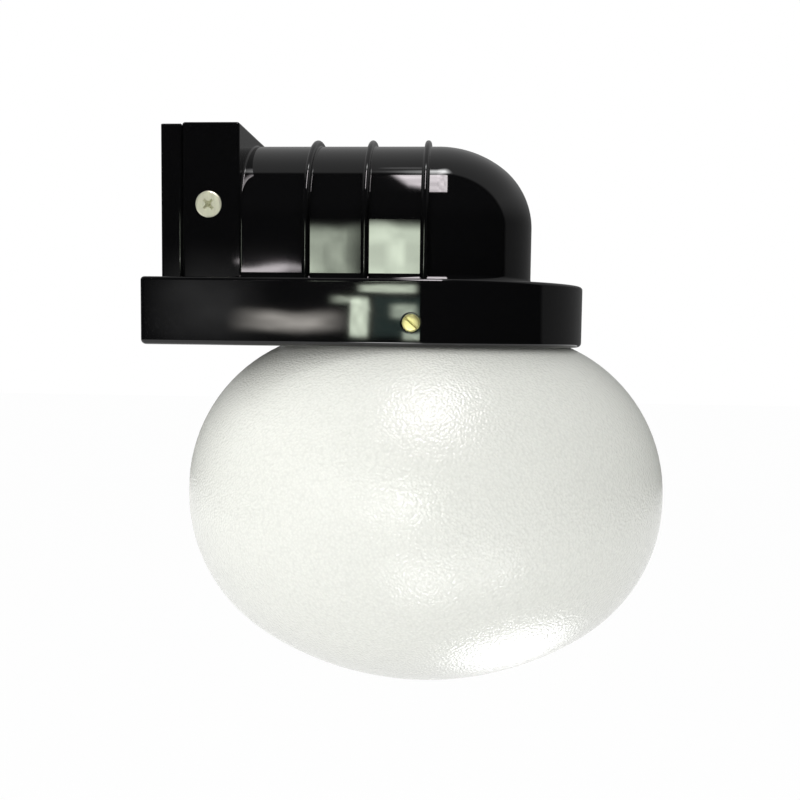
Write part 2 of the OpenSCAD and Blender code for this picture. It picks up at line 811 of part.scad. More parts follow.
// Terminal block on the wall plate
barrel_r = 3.7;
barrel_seat = 0.4;
barrel_x = plate_floor + barrel_r + barrel_seat;
tower_r = 2.9;
tower_h = 7;
tower_bore_r = 1.6;
tower_z = block_l / 4 + 0.4;
web_h = 6.4;
web_t = 4.6;
block_sleeve_r = 2.4;
block_sleeve_wall = 0.8;
block_sleeve_in = 1;
block_screw_r = 1.3;
block_screw_in = 1.4;
block_slot_w = 0.5;
fix_seat = 4;
fix_head_r = 2.2;
fix_head_h = 1.6;

module block_poles() {
    for (m = [-1, 1]) translate([barrel_x, m * pole_pitch / 2, block_z]) children();
}

module block_towers() {
    for (m = [-1, 1]) translate([0, 0, m * tower_z]) children();
}

module terminal_block() {
    color([0.9, 0.9, 0.86]) difference() {
        union() {
            block_poles() {
                translate([0, 0, -block_l / 2]) cylinder(r = barrel_r, h = block_l);
                block_towers() rod_x(tower_r, 0, tower_h);
                translate([plate_floor - barrel_x, -barrel_r, -block_l / 2])
                    cube([barrel_x - plate_floor, 2 * barrel_r, block_l]);
            }
            translate([plate_floor, -pole_pitch / 2, block_z - web_h / 2])
                cube([web_t, pole_pitch, web_h]);
        }
        block_poles() {
            translate([0, 0, -block_l / 2 - eps]) cylinder(r = block_sleeve_r, h = block_l + 2 * eps);
            block_towers() rod_x(tower_bore_r, 0, tower_h + eps);
        }
        translate([0, 0, block_z]) {
            rod_x(block_fix_r + holder_gap, 0, barrel_x + tower_h);
            rod_x(fix_head_r + wire_gap, plate_floor + fix_seat, barrel_x + tower_h);
        }
    }
}

module block_sleeves() {
    color([0.8, 0.65, 0.3]) block_poles() difference() {
        translate([0, 0, block_sleeve_in - block_l / 2])
            cylinder(r = block_sleeve_r - push_gap, h = block_l - 2 * block_sleeve_in);
        translate([0, 0, -block_l / 2]) cylinder(r = block_sleeve_r - block_sleeve_wall, h = block_l);
        block_towers() rod_x(block_screw_r + running_gap, 0, tower_h);
    }
}

module block_screws() {
    color([0.8, 0.78, 0.65]) block_poles() block_towers() difference() {
        rod_x(block_screw_r, (lead_d + wire_gap) / 2, tower_h - block_screw_in);
        translate([tower_h - block_screw_in - slot_depth, -block_screw_r - eps, -block_slot_w / 2])
            cube([slot_depth + eps, 2 * (block_screw_r + eps), block_slot_w]);
    }
}

module block_fixing_screw() {
    head_x = plate_floor + fix_seat;
    color([0.8, 0.78, 0.65]) translate([0, 0, block_z]) difference() {
        union() {
            rod_x(block_fix_r - running_gap, eps, head_x + fix_head_h / 2);
            rod_x(fix_head_r, head_x, head_x + fix_head_h);
        }
        translate([head_x + fix_head_h - slot_depth, -fix_head_r - eps, -slot_w / 2])
            cube([slot_depth + eps, 2 * (fix_head_r + eps), slot_w]);
    }
}

// Route of a lead from the terminal block, through the tunnel and nipple, to the lampholder
pole_y = pole_pitch / 2;
lead_route = [
    [barrel_x, pole_y, 8], [barrel_x, pole_y, 12.5], [7, pole_y, 15], [8.6, 5, 16.6], [11.4, 5, 17],
    [18, 4.7, 16.2], [28, 4.1, 15], [40, 3.4, 14.4], [52, 2.7, 14.6], [63, 2, 15.4],
    [70, 1.5, 16], [73.8, 1.3, 15.7], [76.4, 1.3, 14.2], [gallery_x, 1.3, 11.6], [gallery_x, 1.3, 6],
    [gallery_x, 1.6, 2.8], [gallery_x, 3.4, 1], [gallery_x, 6.2, -0.2], [gallery_x, terminal_y, -2.2],
    [gallery_x, terminal_y, -5]];
lead_sides = 8;

function unit(v) = v / norm(v);
function spline(p, i, t) =
    let (a = p[max(i - 1, 0)], b = p[i], c = p[i + 1], d = p[min(i + 2, len(p) - 1)])
    0.5 * (2 * b + (c - a) * t + (2 * a - 5 * b + 4 * c - d) * t * t
           + (3 * b - a - 3 * c + d) * t * t * t);
function smooth(p) = [for (i = [0:len(p) - 2], t = [0, 0.5]) spline(p, i, t), p[len(p) - 1]];
function heading(p, i) = unit(p[min(i + 1, len(p) - 1)] - p[max(i - 1, 0)]);

module lead(side) {
    path = [for (q = smooth(lead_route)) [q[0], side * q[1], q[2]]];
    loft([for (i = [0:len(path) - 1])
        let (t = heading(path, i), u = unit(cross([0, 1, 0], t)), v = cross(t, u))
        [for (a = [0:360 / lead_sides:359]) path[i] + lead_d / 2 * (cos(a) * u + sin(a) * v)]]);
}

module live_lead() { color([0.45, 0.25, 0.12]) lead(1); }
module neutral_lead() { color([0.1, 0.25, 0.6]) lead(-1); }

housing();
wall_plate();
housing_screws();
lug_sleeves();
cable_bush();
front_gallery_screw();
near_gallery_screw();
far_gallery_screw();
gallery_sleeves();
globe();
globe_gasket();
strap();
strap_screws();
nipple();
nipple_nut();
holder_cap();
holder_insert();
holder_skirt();
holder_shell();
centre_contact();
holder_terminals();
holder_screws();
lamp();
terminal_block();
block_sleeves();
block_screws();
block_fixing_screw();
live_lead();
neutral_lead();
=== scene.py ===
"""Bracket wall light: builds the dressed pieces, the studio and the camera round the frame."""
import json
import math

import bmesh
import bpy
from bpy.props import FloatProperty, FloatVectorProperty, IntProperty, PointerProperty
from mathutils import Matrix, Vector


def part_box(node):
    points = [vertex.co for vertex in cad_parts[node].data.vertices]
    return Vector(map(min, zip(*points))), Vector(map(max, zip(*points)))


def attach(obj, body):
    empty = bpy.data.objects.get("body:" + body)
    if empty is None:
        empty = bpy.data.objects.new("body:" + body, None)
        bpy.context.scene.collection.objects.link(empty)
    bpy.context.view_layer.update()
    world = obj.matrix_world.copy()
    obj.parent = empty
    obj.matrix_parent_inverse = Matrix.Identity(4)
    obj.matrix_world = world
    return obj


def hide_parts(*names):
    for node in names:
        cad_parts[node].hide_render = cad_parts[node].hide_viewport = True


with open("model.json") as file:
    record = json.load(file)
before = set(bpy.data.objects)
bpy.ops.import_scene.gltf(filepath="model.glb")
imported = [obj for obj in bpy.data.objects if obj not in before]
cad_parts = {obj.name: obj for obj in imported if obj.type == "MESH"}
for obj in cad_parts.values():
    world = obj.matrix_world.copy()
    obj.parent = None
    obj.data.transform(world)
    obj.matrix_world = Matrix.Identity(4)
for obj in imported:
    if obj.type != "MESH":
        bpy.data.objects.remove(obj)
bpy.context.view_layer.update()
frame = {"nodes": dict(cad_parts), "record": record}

bl_info = {
    "name": "Bracket wall light",
    "version": (1, 0, 0),
    "blender": (4, 5, 0),
    "location": "3D View > Sidebar > Wall light",
    "description": "Builds a black moulded bracket light with an oval frosted globe",
    "category": "Object",
}

MM = 0.001
LOWEST = -10000.0
HOUSING_LOW, HOUSING_HIGH = [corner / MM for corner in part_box("housing")]
GLOBE_LOW, GLOBE_HIGH = [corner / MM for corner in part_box("globe")]


# Settings that a user would change


def size(name, description, default, lowest=0.0):
    """A length in millimetres."""
    return FloatProperty(
        name=name, description=description, default=default, min=lowest, subtype="DISTANCE_CAMERA"
    )


def angle(name, description, degrees):
    """An angle, given here in degrees."""
    return FloatProperty(
        name=name, description=description, default=math.radians(degrees), subtype="ANGLE"
    )


def colour(name, description, default):
    """A colour with three channels."""
    return FloatVectorProperty(
        name=name, description=description, default=default, subtype="COLOR", min=0.0, max=1.0
    )


class HousingSettings(bpy.types.PropertyGroup):
    """Sizes of the moulded housing, in millimetres."""

    arm_half: size("Arm half width", "Half the width of the arm", 29.6)
    arm_wall: size("Arm wall", "Thickness of the arm and elbow", 2.5)
    arch_rise: size("Arch rise", "Rise of the arm's arch above its straight sides", 25.8)
    crown_drop: size("Crown drop", "Drop from the top of the box to the arm's crown", 2.0)
    elbow_x: size("Elbow", "Distance of the elbow's axis from the wall", 80.7)
    foot_fillet: size("Foot fillet", "Fillet between the arm and the gallery", 2.5)
    root_fillet: size("Root fillet", "Fillet between the arm and the box", 0.5)
    rib_x: size("First rib", "Distance of the first rib from the wall", 42.9)
    rib_pitch: size("Rib pitch", "Distance from rib to rib", 17.3)
    rib_w: size("Rib width", "Width of a rib", 1.8)
    rib_h: size("Rib height", "Height of a rib above the arm", 1.9)
    rib_count: IntProperty(name="Ribs", description="Number of ribs", default=3, min=1, max=3)
    gallery_r: size("Gallery radius", "Radius of the gallery's round front", 49.1)
    gallery_x: size("Gallery axis", "Distance of the gallery's axis from the wall", 77.4)
    gallery_h: size("Gallery height", "Height of the gallery", 18.7)
    gallery_top: size("Gallery top", "Thickness of the gallery's top", 2.5)
    skirt_wall: size("Skirt wall", "Thickness of the gallery's skirt", 3.0)
    plate_t: size("Plate depth", "Depth of the wall plate behind the box", 6.4)
    flange_d: size("Box depth", "Depth of the box at the arm's root", 17.0)
    flange_w: size("Box width", "Width of the box at the arm's root", 60.2)
    flange_wall: size("Box wall", "Thickness of the box", 2.6)
    edge_r: size("Edge rounding", "Rounding of the box's edges", 0.8)


class GlobeSettings(bpy.types.PropertyGroup):
    """Sizes of the glass globe, in millimetres."""

    side_r: size("Side radius", "Radius of the globe at its widest", 49.0)
    shoulder_lift: size("Shoulder lift", "Plain band between the globe's two halves", 1.7)
    shoulder_drop: size("Shoulder drop", "Drop of the upper half's crown below the oval", 1.1)
    rise: size("Rise", "Height of the oval above the gallery's lower edge", 11.1)
    neck_r: size("Neck radius", "Outer radius of the neck", 42.0)
    bead_r: size("Bead radius", "Radius of the bead round the mouth", 1.7)
    neck_fillet: size("Neck fillet", "Fillet between neck and body", 3.0)
    wall: size("Glass", "Thickness of the glass", 2.2)
    grain: FloatProperty(name="Grain", description="Pebbles per metre", default=1400.0, min=1.0)


class ScrewSettings(bpy.types.PropertyGroup):
    """Sizes of the screws, in millimetres."""

    side_x: size("Side screw", "Distance of the housing screws from the wall", 14.2)
    side_z: size("Side screw height", "Height of the housing screws", -0.6, LOWEST)
    sunk_r: size("Sunk head", "Radius of a countersunk head", 3.85)
    sunk_proud: size("Head proud", "Height of a sunk head above the box", 0.25)
    side_r: size("Side shank", "Radius of a housing screw's thread", 2.0)
    side_l: size("Side length", "Length of a housing screw", 12.0)
    side_pitch: size("Side pitch", "Pitch of a housing screw", 0.7)
    grip_up: size("Gallery screws", "Height of the gallery screws above the lower edge", 6.7)
    grip_back: size("Side ones back", "Distance of the side ones behind the axis", 2.5)
    grip_head_r: size("Gallery head", "Radius of a gallery screw's head", 2.25)
    grip_head_h: size("Gallery head height", "Height of a gallery screw's head", 1.4)
    grip_sink: size("Head sink", "Depth of the heads below the skirt's outside", 0.2)
    grip_r: size("Gallery shank", "Radius of a gallery screw's thread", 1.5)
    grip_pitch: size("Gallery pitch", "Pitch of a gallery screw", 0.5)
    tip_gap: size("Tip gap", "Space between a screw's tip and the globe's neck", 0.3)


class HolderSettings(bpy.types.PropertyGroup):
    """Sizes of the lampholder and lamp, in millimetres."""

    bridge_z: size("Bridge", "Height of the strap's bridge", 5.6)
    holder_r: size("Holder", "Outer radius of the lampholder", 17.5)
    cap_h: size("Cap height", "Height of the lampholder's cap", 17.0)
    skirt_h: size("Skirt height", "Height of the lampholder's skirt", 29.0)
    skirt_in: size("Skirt inside", "Inner radius of the lampholder's skirt", 14.6)
    shell_r: size("Shell", "Outer radius of the threaded shell", 14.4)
    shell_t: size("Shell wall", "Thickness of the threaded shell", 0.4)
    cap_r: size("Lamp cap", "Radius of the lamp's screw cap", 13.0)
    cap_pitch: size("Lamp pitch", "Pitch of the lamp's screw cap", 3.62)
    cap_l: size("Lamp cap length", "Length of the lamp's screw cap", 22.0)
    bulb_r: size("Bulb", "Radius of the lamp's bulb", 22.5)
    nipple_r: size("Nipple", "Radius of the hollow nipple", 5.0)


class FinishSettings(bpy.types.PropertyGroup):
    """Colours of the finishes."""

    moulding: colour("Moulding", "Black moulding compound", (0.002, 0.002, 0.0022))
    glass: colour("Glass", "Frosted glass", (0.89, 0.895, 0.835))
    brass: colour("Brass", "Turned brass", (0.93, 0.82, 0.36))
    zinc: colour("Zinc", "Pale yellow zinc plating", (0.74, 0.74, 0.57))
    steel: colour("Steel", "Bright zinc plated steel", (0.62, 0.63, 0.64))
    rubber: colour("Rubber", "Black rubber", (0.02, 0.02, 0.02))
    white: colour("White plastic", "White moulded plastic", (0.82, 0.81, 0.76))
    porcelain: colour("Porcelain", "Glazed insert", (0.86, 0.85, 0.8))
    opal: colour("Opal", "Opal lamp glass", (0.9, 0.89, 0.84))
    brown: colour("Brown wire", "Insulation of the live lead", (0.16, 0.07, 0.03))
    blue: colour("Blue wire", "Insulation of the neutral lead", (0.03, 0.1, 0.35))


class StudioSettings(bpy.types.PropertyGroup):
    """Camera and floor, with lengths in millimetres."""

    camera_x: size("Camera X", "Camera along X", 88.8, LOWEST)
    camera_y: size("Camera Y", "Camera along Y", -301.61, LOWEST)
    camera_z: size("Camera Z", "Camera height", -36.96, LOWEST)
    yaw: angle("Yaw", "Camera turned to the left", 3.74)
    pitch: angle("Pitch", "Camera tilted up", -4.23)
    roll: angle("Roll", "Camera rolled", 0.7)
    lens: size("Lens", "Focal length", 41.92)
    floor_z: size("Floor", "Height of the floor", -280.0, LOWEST)


# Shader helpers


def new_material(name):
    """A fresh material, its node tree and its Principled BSDF."""
    material = bpy.data.materials.new(name)
    material.use_nodes = True
    tree = material.node_tree
    return material, tree, tree.nodes["Principled BSDF"]


def feed(tree, socket, value):
    """Links an output into a socket, or sets the socket to a plain value."""
    if isinstance(value, bpy.types.NodeSocket):
        tree.links.new(value, socket)
    else:
        socket.default_value = value


def dress(tree, shader, **values):
    """Feeds inputs of a node by name."""
    for key, value in values.items():
        feed(tree, shader.inputs[key.replace("_", " ")], value)


def add_node(tree, kind, **values):
    """A new node, with inputs fed by name and all other values set as attributes."""
    node = tree.nodes.new(kind)
    for key, value in values.items():
        if key.replace("_", " ") in node.inputs:
            dress(tree, node, **{key: value})
        else:
            setattr(node, key, value)
    return node


def feed_in_order(tree, node, *values):
    """Feeds a node's first inputs in their order, and gives its first output."""
    for socket, value in zip(node.inputs, values):
        feed(tree, socket, value)
    return node.outputs[0]


def calculate(tree, operation, *values, clamp=False):
    """The result of a Math node on outputs or numbers."""
    node = add_node(tree, "ShaderNodeMath", operation=operation, use_clamp=clamp)
    return feed_in_order(tree, node, *values)


def own_place(tree):
    """The place on the piece itself, in metres."""
    return add_node(tree, "ShaderNodeTexCoord").outputs["Object"]


def noise(tree, scale, detail, roughness=0.5, place=None):
    """A noise from 0 to 1, on the piece itself unless another place is given."""
    if place is None:
        place = own_place(tree)
    node = add_node(tree, "ShaderNodeTexNoise", Vector=place, Scale=scale, Detail=detail,
                    Roughness=roughness)
    return node.outputs["Fac"]


def spread(tree, value, low, high, start=0.0, end=1.0, kind="LINEAR"):
    """Maps a value from start to end onto low to high."""
    node = add_node(tree, "ShaderNodeMapRange", interpolation_type=kind, Value=value,
                    From_Min=start, From_Max=end, To_Min=low, To_Max=high)
    return node.outputs["Result"]


def ease(tree, value, start, end, low=0.0, high=1.0):
    """Maps a value from start to end onto low to high, with soft ends."""
    return spread(tree, value, low, high, start, end, "SMOOTHSTEP")


def tint(tree, mask, first, second):
    """Blends two colours by a mask."""
    node = add_node(tree, "ShaderNodeMix", data_type="RGBA", Factor=mask,
                    A=(*first, 1.0), B=(*second, 1.0))
    return node.outputs["Result"]


def shade(base, factor):
    """A colour made lighter or darker."""
    return tuple(min(1.0, channel * factor) for channel in base)


def emboss(tree, shader, height, distance, strength=1.0):
    """Feeds a height through a Bump node into the shader's normal."""
    bump = add_node(tree, "ShaderNodeBump", Strength=strength, Distance=distance, Height=height)
    dress(tree, shader, Normal=bump.outputs["Normal"])


# Shared effects


def effect_group(name, inputs, result):
    """A new node group, with its inputs inside it and the socket for its result."""
    group = bpy.data.node_groups.new(name, "ShaderNodeTree")
    for label, default in inputs.items():
        socket = group.interface.new_socket(name=label, in_out="INPUT", socket_type="NodeSocketFloat")
        socket.default_value = default
    group.interface.new_socket(name=result, in_out="OUTPUT", socket_type="NodeSocketFloat")
    entry = group.nodes.new("NodeGroupInput").outputs
    return group, entry, group.nodes.new("NodeGroupOutput").inputs[result]


def ripple_group():
    """Slow waves of a moulded surface under a faint orange peel, as a height."""
    group, entry, leave = effect_group(
        "Moulded ripple", {"Wave size": 60.0, "Peel size": 900.0, "Peel share": 0.06}, "Height"
    )
    wave = noise(group, entry["Wave size"], 1.0, 0.3)
    peel = noise(group, entry["Peel size"], 2.0)
    part = calculate(group, "MULTIPLY", peel, entry["Peel share"])
    feed(group, leave, calculate(group, "ADD", wave, part))
    return group


def speck_group():
    """Scattered dust and fine handling marks, as a mask from 0 to 1."""
    group, entry, leave = effect_group("Handling marks", {"Speck size": 700.0, "Cover": 0.32}, "Mask")
    fine = noise(group, entry["Speck size"], 4.0, 0.7)
    both = calculate(group, "MULTIPLY", fine, noise(group, 45.0, 2.0))
    past = calculate(group, "SUBTRACT", both, entry["Cover"])
    feed(group, leave, calculate(group, "MULTIPLY", past, 9.0, clamp=True))
    return group


def turned_group():
    """Fine scratches of turned or rolled metal, as a mask round 0.5."""
    group, entry, leave = effect_group("Tool marks", {"Mark size": 900.0, "Stretch": 0.08}, "Mask")
    squeeze = add_node(group, "ShaderNodeCombineXYZ", X=1.0, Y=1.0, Z=entry["Stretch"])
    scaled = add_node(group, "ShaderNodeVectorMath", operation="MULTIPLY")
    place = feed_in_order(group, scaled, own_place(group), squeeze.outputs[0])
    feed(group, leave, noise(group, entry["Mark size"], 3.0, 0.6, place))
    return group


def pebble_group():
    """Small rounded grains of pressed glass, as a height."""
    group, entry, leave = effect_group("Pebbled glass", {"Grain size": 900.0, "Drift": 0.12}, "Height")
    grain = add_node(group, "ShaderNodeTexVoronoi", feature="SMOOTH_F1", Smoothness=0.6,
                     Vector=own_place(group), Scale=entry["Grain size"])
    dome = calculate(group, "SUBTRACT", 0.75, grain.outputs["Distance"])
    drift = calculate(group, "MULTIPLY", noise(group, 500.0, 1.0), entry["Drift"])
    feed(group, leave, calculate(group, "ADD", dome, drift))
    return group


EFFECTS = {}


def place_group(tree, effect, **values):
    """Puts a shared effect into a material with its own values, and gives its result."""
    return add_node(tree, "ShaderNodeGroup", node_tree=EFFECTS[effect], **values).outputs[0]


# Finishes. Bump distances are in metres.

DUST = (0.006, 0.006, 0.0065)
MATERIALS = {}


def moulding_material(name, base):
    """Polished black moulding: slow waves in the gloss, a trace of dust."""
    material, tree, shader = new_material(name)
    ripple = place_group(tree, "ripple", Wave_size=42.0, Peel_size=300.0, Peel_share=0.006)
    marks = place_group(tree, "specks", Speck_size=1500.0, Cover=0.4)
    dress(tree, shader, IOR=1.53, Base_Color=tint(tree, marks, base, DUST),
          Roughness=spread(tree, marks, 0.035, 0.1))
    emboss(tree, shader, ripple, 0.00008)
    return material


def metal_material(name, base, roughness=(0.22, 0.42), metallic=1.0):
    """Plated or turned metal with fine tool marks."""
    material, tree, shader = new_material(name)
    marks = place_group(tree, "tooling")
    dress(tree, shader, Metallic=metallic, Roughness=spread(tree, marks, *roughness),
          Base_Color=tint(tree, marks, shade(base, 0.72), shade(base, 1.15)))
    emboss(tree, shader, marks, 0.00002, 0.6)
    return material


def plain_material(name, base, roughness=(0.3, 0.5), coat=0.0):
    """Moulded plastic, rubber or glaze with a soft surface variation."""
    material, tree, shader = new_material(name)
    ripple = place_group(tree, "ripple", Wave_size=120.0, Peel_share=0.35)
    marks = place_group(tree, "specks")
    dress(tree, shader, Coat_Weight=coat, Roughness=spread(tree, marks, *roughness),
          Base_Color=tint(tree, marks, base, shade(base, 0.8)))
    emboss(tree, shader, ripple, 0.00006)
    return material


def frosted_material(name, base, grain):
    """Pressed glass, pebbled outside and frosted through, with painted shade in the pebbles' hollows and
    painted light on their tops.
    """
    material, tree, shader = new_material(name)
    pebble = place_group(tree, "pebble", Grain_size=grain)
    # The colour runs from painted shade in the hollows of the pebbles to painted light on their tops.
    low = spread(tree, pebble, 0.0, 1.0)
    dress(tree, shader, IOR=1.55, Transmission_Weight=0.2, Roughness=spread(tree, pebble, 0.24, 0.16),
          Base_Color=tint(tree, low, shade(base, 0.9), shade(base, 1.05)))
    emboss(tree, shader, pebble, 0.0002, 0.75)
    return material


def build_materials(finish, grain):
    """Builds each shared effect once, then one material for each slot of the record."""
    EFFECTS.update(ripple=ripple_group(), specks=speck_group(), tooling=turned_group(),
                   pebble=pebble_group())
    MATERIALS.update(
        black_moulding=moulding_material("Black moulding", finish.moulding),
        frosted_glass=frosted_material("Frosted glass", finish.glass, grain),
        brass=metal_material("Brass", finish.brass, metallic=0.75),
        zinc_steel=metal_material("Yellow zinc", finish.zinc, (0.3, 0.5), 0.6),
        pressed_steel=metal_material("Bright zinc", finish.steel, (0.25, 0.4)),
        rubber=plain_material("Rubber", finish.rubber, (0.6, 0.8)),
        white_plastic=plain_material("White plastic", finish.white),
        porcelain=plain_material("Porcelain", finish.porcelain, (0.12, 0.3), coat=0.6),
        opal_lamp=plain_material("Opal glass", finish.opal, (0.15, 0.25), coat=0.4),
        brown_lead=plain_material("Brown insulation", finish.brown, (0.35, 0.5)),
        blue_lead=plain_material("Blue insulation", finish.blue, (0.35, 0.5)),
    )


# Mesh helpers, in millimetres

MOULDING = "black_moulding"
NO_RADIUS = 0.001  # of a closed tip, so that its ring stays a ring
WIRE_SIDES = 14
ROUTE_PARTS = 5  # steps between two points of a wire's route


def link_piece(name, mesh, slot):
    """An object in the scene for a mesh, with its slot's material."""
    piece = bpy.data.objects.new(name, mesh)
    bpy.context.scene.collection.objects.link(piece)
    mesh.materials.append(MATERIALS[slot])
    return piece


def make_piece(name, vertices, faces, slot):
    """A mesh object from points in millimetres, with its slot's material."""
    mesh = bpy.data.meshes.new(name)
    mesh.from_pydata([Vector(point) * MM for point in vertices], [], faces)
    made = bmesh.new()
    made.from_mesh(mesh)
    bmesh.ops.remove_doubles(made, verts=made.verts, dist=1e-7)
    bmesh.ops.dissolve_degenerate(made, edges=made.edges, dist=1e-7)
    bmesh.ops.recalc_face_normals(made, faces=made.faces)
    made.to_mesh(mesh)
    made.free()
    return link_piece(name, mesh, slot)


def smooth(piece, degrees, weighted):
    """Smooth shading with sharp edges past an angle."""
    for polygon in piece.data.polygons:
        polygon.use_smooth = True
    piece.data.set_sharp_from_angle(angle=math.radians(degrees))
    if weighted:
        modifier = piece.modifiers.new("Flat faces", "WEIGHTED_NORMAL")
        modifier.keep_sharp = True
        modifier.weight = 100


def loft(name, rings, slot, capped=True):
    """Joins rings of points, all of one length, into a skin with flat ends if capped."""
    count = len(rings[0])
    vertices = [point for ring in rings for point in ring]
    faces = []
    for row in range(len(rings) - 1):
        for column in range(count):
            after = (column + 1) % count
            faces.append((row * count + column, row * count + after,
                          (row + 1) * count + after, (row + 1) * count + column))
    if capped:
        faces.append(tuple(reversed(range(count))))
        faces.append(tuple((len(rings) - 1) * count + column for column in range(count)))
    return make_piece(name, vertices, faces, slot)


def axis_point(centre, axis, across, along, height):
    """A point round an axis through centre, with two directions across it and one along it."""
    spots = {"Z": (across, along, height), "X": (height, across, along),
             "-Y": (across, -height, along), "Y": (along, height, across)}
    return Vector(centre) + Vector(spots[axis])


def turned_ring(radius, height, centre, axis, steps):
    """One ring of points. The radius may be a function of the turn, from 0 to 1."""
    ring = []
    for step in range(steps):
        r = radius(step / steps) if callable(radius) else radius
        turn = 2 * math.pi * step / steps
        ring.append(axis_point(centre, axis, r * math.cos(turn), r * math.sin(turn), height))
    return ring


def lathe(name, profile, slot, centre=(0, 0, 0), axis="Z", steps=64, capped=True):
    """Turns a profile of (radius, height) round an axis."""
    rings = [turned_ring(radius, height, centre, axis, steps) for radius, height in profile]
    return loft(name, rings, slot, capped=capped)


def ring_body(name, profile, slot, centre, steps):
    """Turns a closed profile round +Z into a hollow body."""
    return lathe(name, [*profile, profile[0]], slot, centre, "Z", steps, capped=False)


def thread(radius, depth, pitch, start, end, soft=False):
    """Heights along a screw thread, each with its radius as a function of the turn."""
    count = max(6, math.ceil((end - start) / pitch * 10))

    def level(height):
        fade = max(0.0, min(1.0, (height - start) / pitch, (end - height) / pitch))

        def reach(turn):
            phase = (height / pitch - turn) % 1.0
            if soft:
                groove = 0.5 - 0.5 * math.cos(2 * math.pi * phase)
            else:
                groove = min(1.0, max(0.0, 1.3 * abs(2 * phase - 1) - 0.12))
            return radius - depth * (1 - fade * (1 - groove))

        return reach

    heights = [start + (end - start) * i / count for i in range(count + 1)]
    return [(level(height), height) for height in heights]


def bar(slot, centre, axis, turn, width, length, low, high, taper=(1.0, 1.0)):
    """A bar across an axis, used to cut slots. Taper is its low side's share of length and width."""
    cosine, sine = math.cos(math.radians(turn)), math.sin(math.radians(turn))
    rings = []
    for height, shares in ((low, taper), (high, (1.0, 1.0))):
        ring = []
        for u, v in ((-1, -1), (1, -1), (1, 1), (-1, 1)):
            along, over = u * length / 2 * shares[0], v * width / 2 * shares[1]
            ring.append(axis_point(centre, axis, along * cosine - over * sine,
                                   along * sine + over * cosine, height))
        rings.append(ring)
    return loft("bar", rings, slot)


def tube(name, route, radius, slot):
    """Sweeps a round section along a smooth path."""
    turns = [2 * math.pi * k / WIRE_SIDES for k in range(WIRE_SIDES)]
    rings = []
    for i, spot in enumerate(route):
        before, after = route[max(i - 1, 0)], route[min(i + 1, len(route) - 1)]
        ahead = (after - before).normalized()
        side = Vector((0, 1, 0)).cross(ahead).normalized()
        over = ahead.cross(side)
        rings.append([spot + radius * (math.cos(turn) * side + math.sin(turn) * over)
                      for turn in turns])
    return loft(name, rings, slot)


def arc(centre, radius, start, end, steps):
    """Points on an arc, with angles in degrees."""
    turns = [math.radians(start + (end - start) * step / steps) for step in range(steps + 1)]
    return [(centre[0] + radius * math.cos(turn), centre[1] + radius * math.sin(turn))
            for turn in turns]


def carve(piece, tool, operation="DIFFERENCE"):
    """Cuts, joins or trims a piece with a tool, and deletes the tool."""
    modifier = piece.modifiers.new("Carve", "BOOLEAN")
    modifier.operation = operation
    modifier.solver = "MANIFOLD"
    modifier.object = tool
    bpy.context.view_layer.update()
    graph = bpy.context.evaluated_depsgraph_get()
    result = bpy.data.meshes.new_from_object(piece.evaluated_get(graph))
    piece.modifiers.remove(modifier)
    old = piece.data
    piece.data = result
    bpy.data.meshes.remove(old)
    spent = tool.data
    bpy.data.objects.remove(tool)
    bpy.data.meshes.remove(spent)


def block(name, low, high, rounding=0.0):
    """A box of moulding between two corners, with rounded edges if asked."""
    centre = (Vector(low) + Vector(high)) / 2 * MM
    extent = (Vector(high) - Vector(low)) * MM
    made = bmesh.new()
    bmesh.ops.create_cube(made, size=1.0)
    bmesh.ops.scale(made, vec=extent, verts=made.verts)
    bmesh.ops.translate(made, vec=centre, verts=made.verts)
    if rounding:
        bmesh.ops.bevel(made, geom=made.edges[:], offset=rounding * MM, segments=4,
                        profile=0.5, affect="EDGES")
    mesh = bpy.data.meshes.new(name)
    made.to_mesh(mesh)
    made.free()
    return link_piece(name, mesh, MOULDING)


def finish_piece(piece, node, body="fixture", degrees=35.0, weighted=False):
    """Shades a piece, hides the node that it stands in for, and hangs it on the empty of what it rides on.
    """
    smooth(piece, degrees, weighted)
    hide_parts(node)
    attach(piece, body)


def crown_radius(half, rise, side):
    """The radius of a three-centred oval over its crown."""
    return ((half - side) ** 2 + rise**2 - side**2) / (2 * (rise - side))


def oval_arcs(half, rise, side):
    """The quarter of a three-centred oval, from its side to its crown."""
    crown = crown_radius(half, rise, side)
    meet = math.degrees(math.atan2(crown - rise, half - side))
    shoulder = arc((half - side, 0), side, 0, meet, 18)
    top = arc((0, rise - crown), crown, meet, 90, 16)
    top[-1] = (0.0, rise)
    return shoulder + top[1:]


# Housing, with the sizes that no user would change

RIB_FOOT = 0.35  # fillet at a rib's foot
CORNER_R = 1.4  # the gallery's back corners, seen from above
LOW_R, TOP_R = 1.39, 1.0  # the gallery's lower and upper edges
LONGEST_STEP = 4.0  # between two sections of the arm
ELBOW_TURNS = 72  # sections round the elbow
FINE, MEDIUM = 192, 96  # points round large and middling circles
COLLAR_WALL = 2.5  # half collar round the globe's neck
PAD_R, PAD_T = 4.4, 1.5  # pads inside the skirt, behind the gallery screws
BOSS_R, BOSS_L, BOSS_Y = 3.2, 5.0, 31.2  # bosses that carry the strap
BOSS_HOLE_R = 1.5  # holes of the strap's screws
BORE_R, BORE_FLOOR = 2.5, 1.9  # hole of a gallery screw, and its floor below the skirt's outside
SINK_R, SINK_WIDE = 2.65, 3.4  # counterbore of a gallery screw, inside and at its mouth
CLEAR_R, SUNK_SEAT_R = 2.3, 3.87  # hole of a housing screw, and the seat of its head
OVER = 1.0  # by which tools run past what they cut


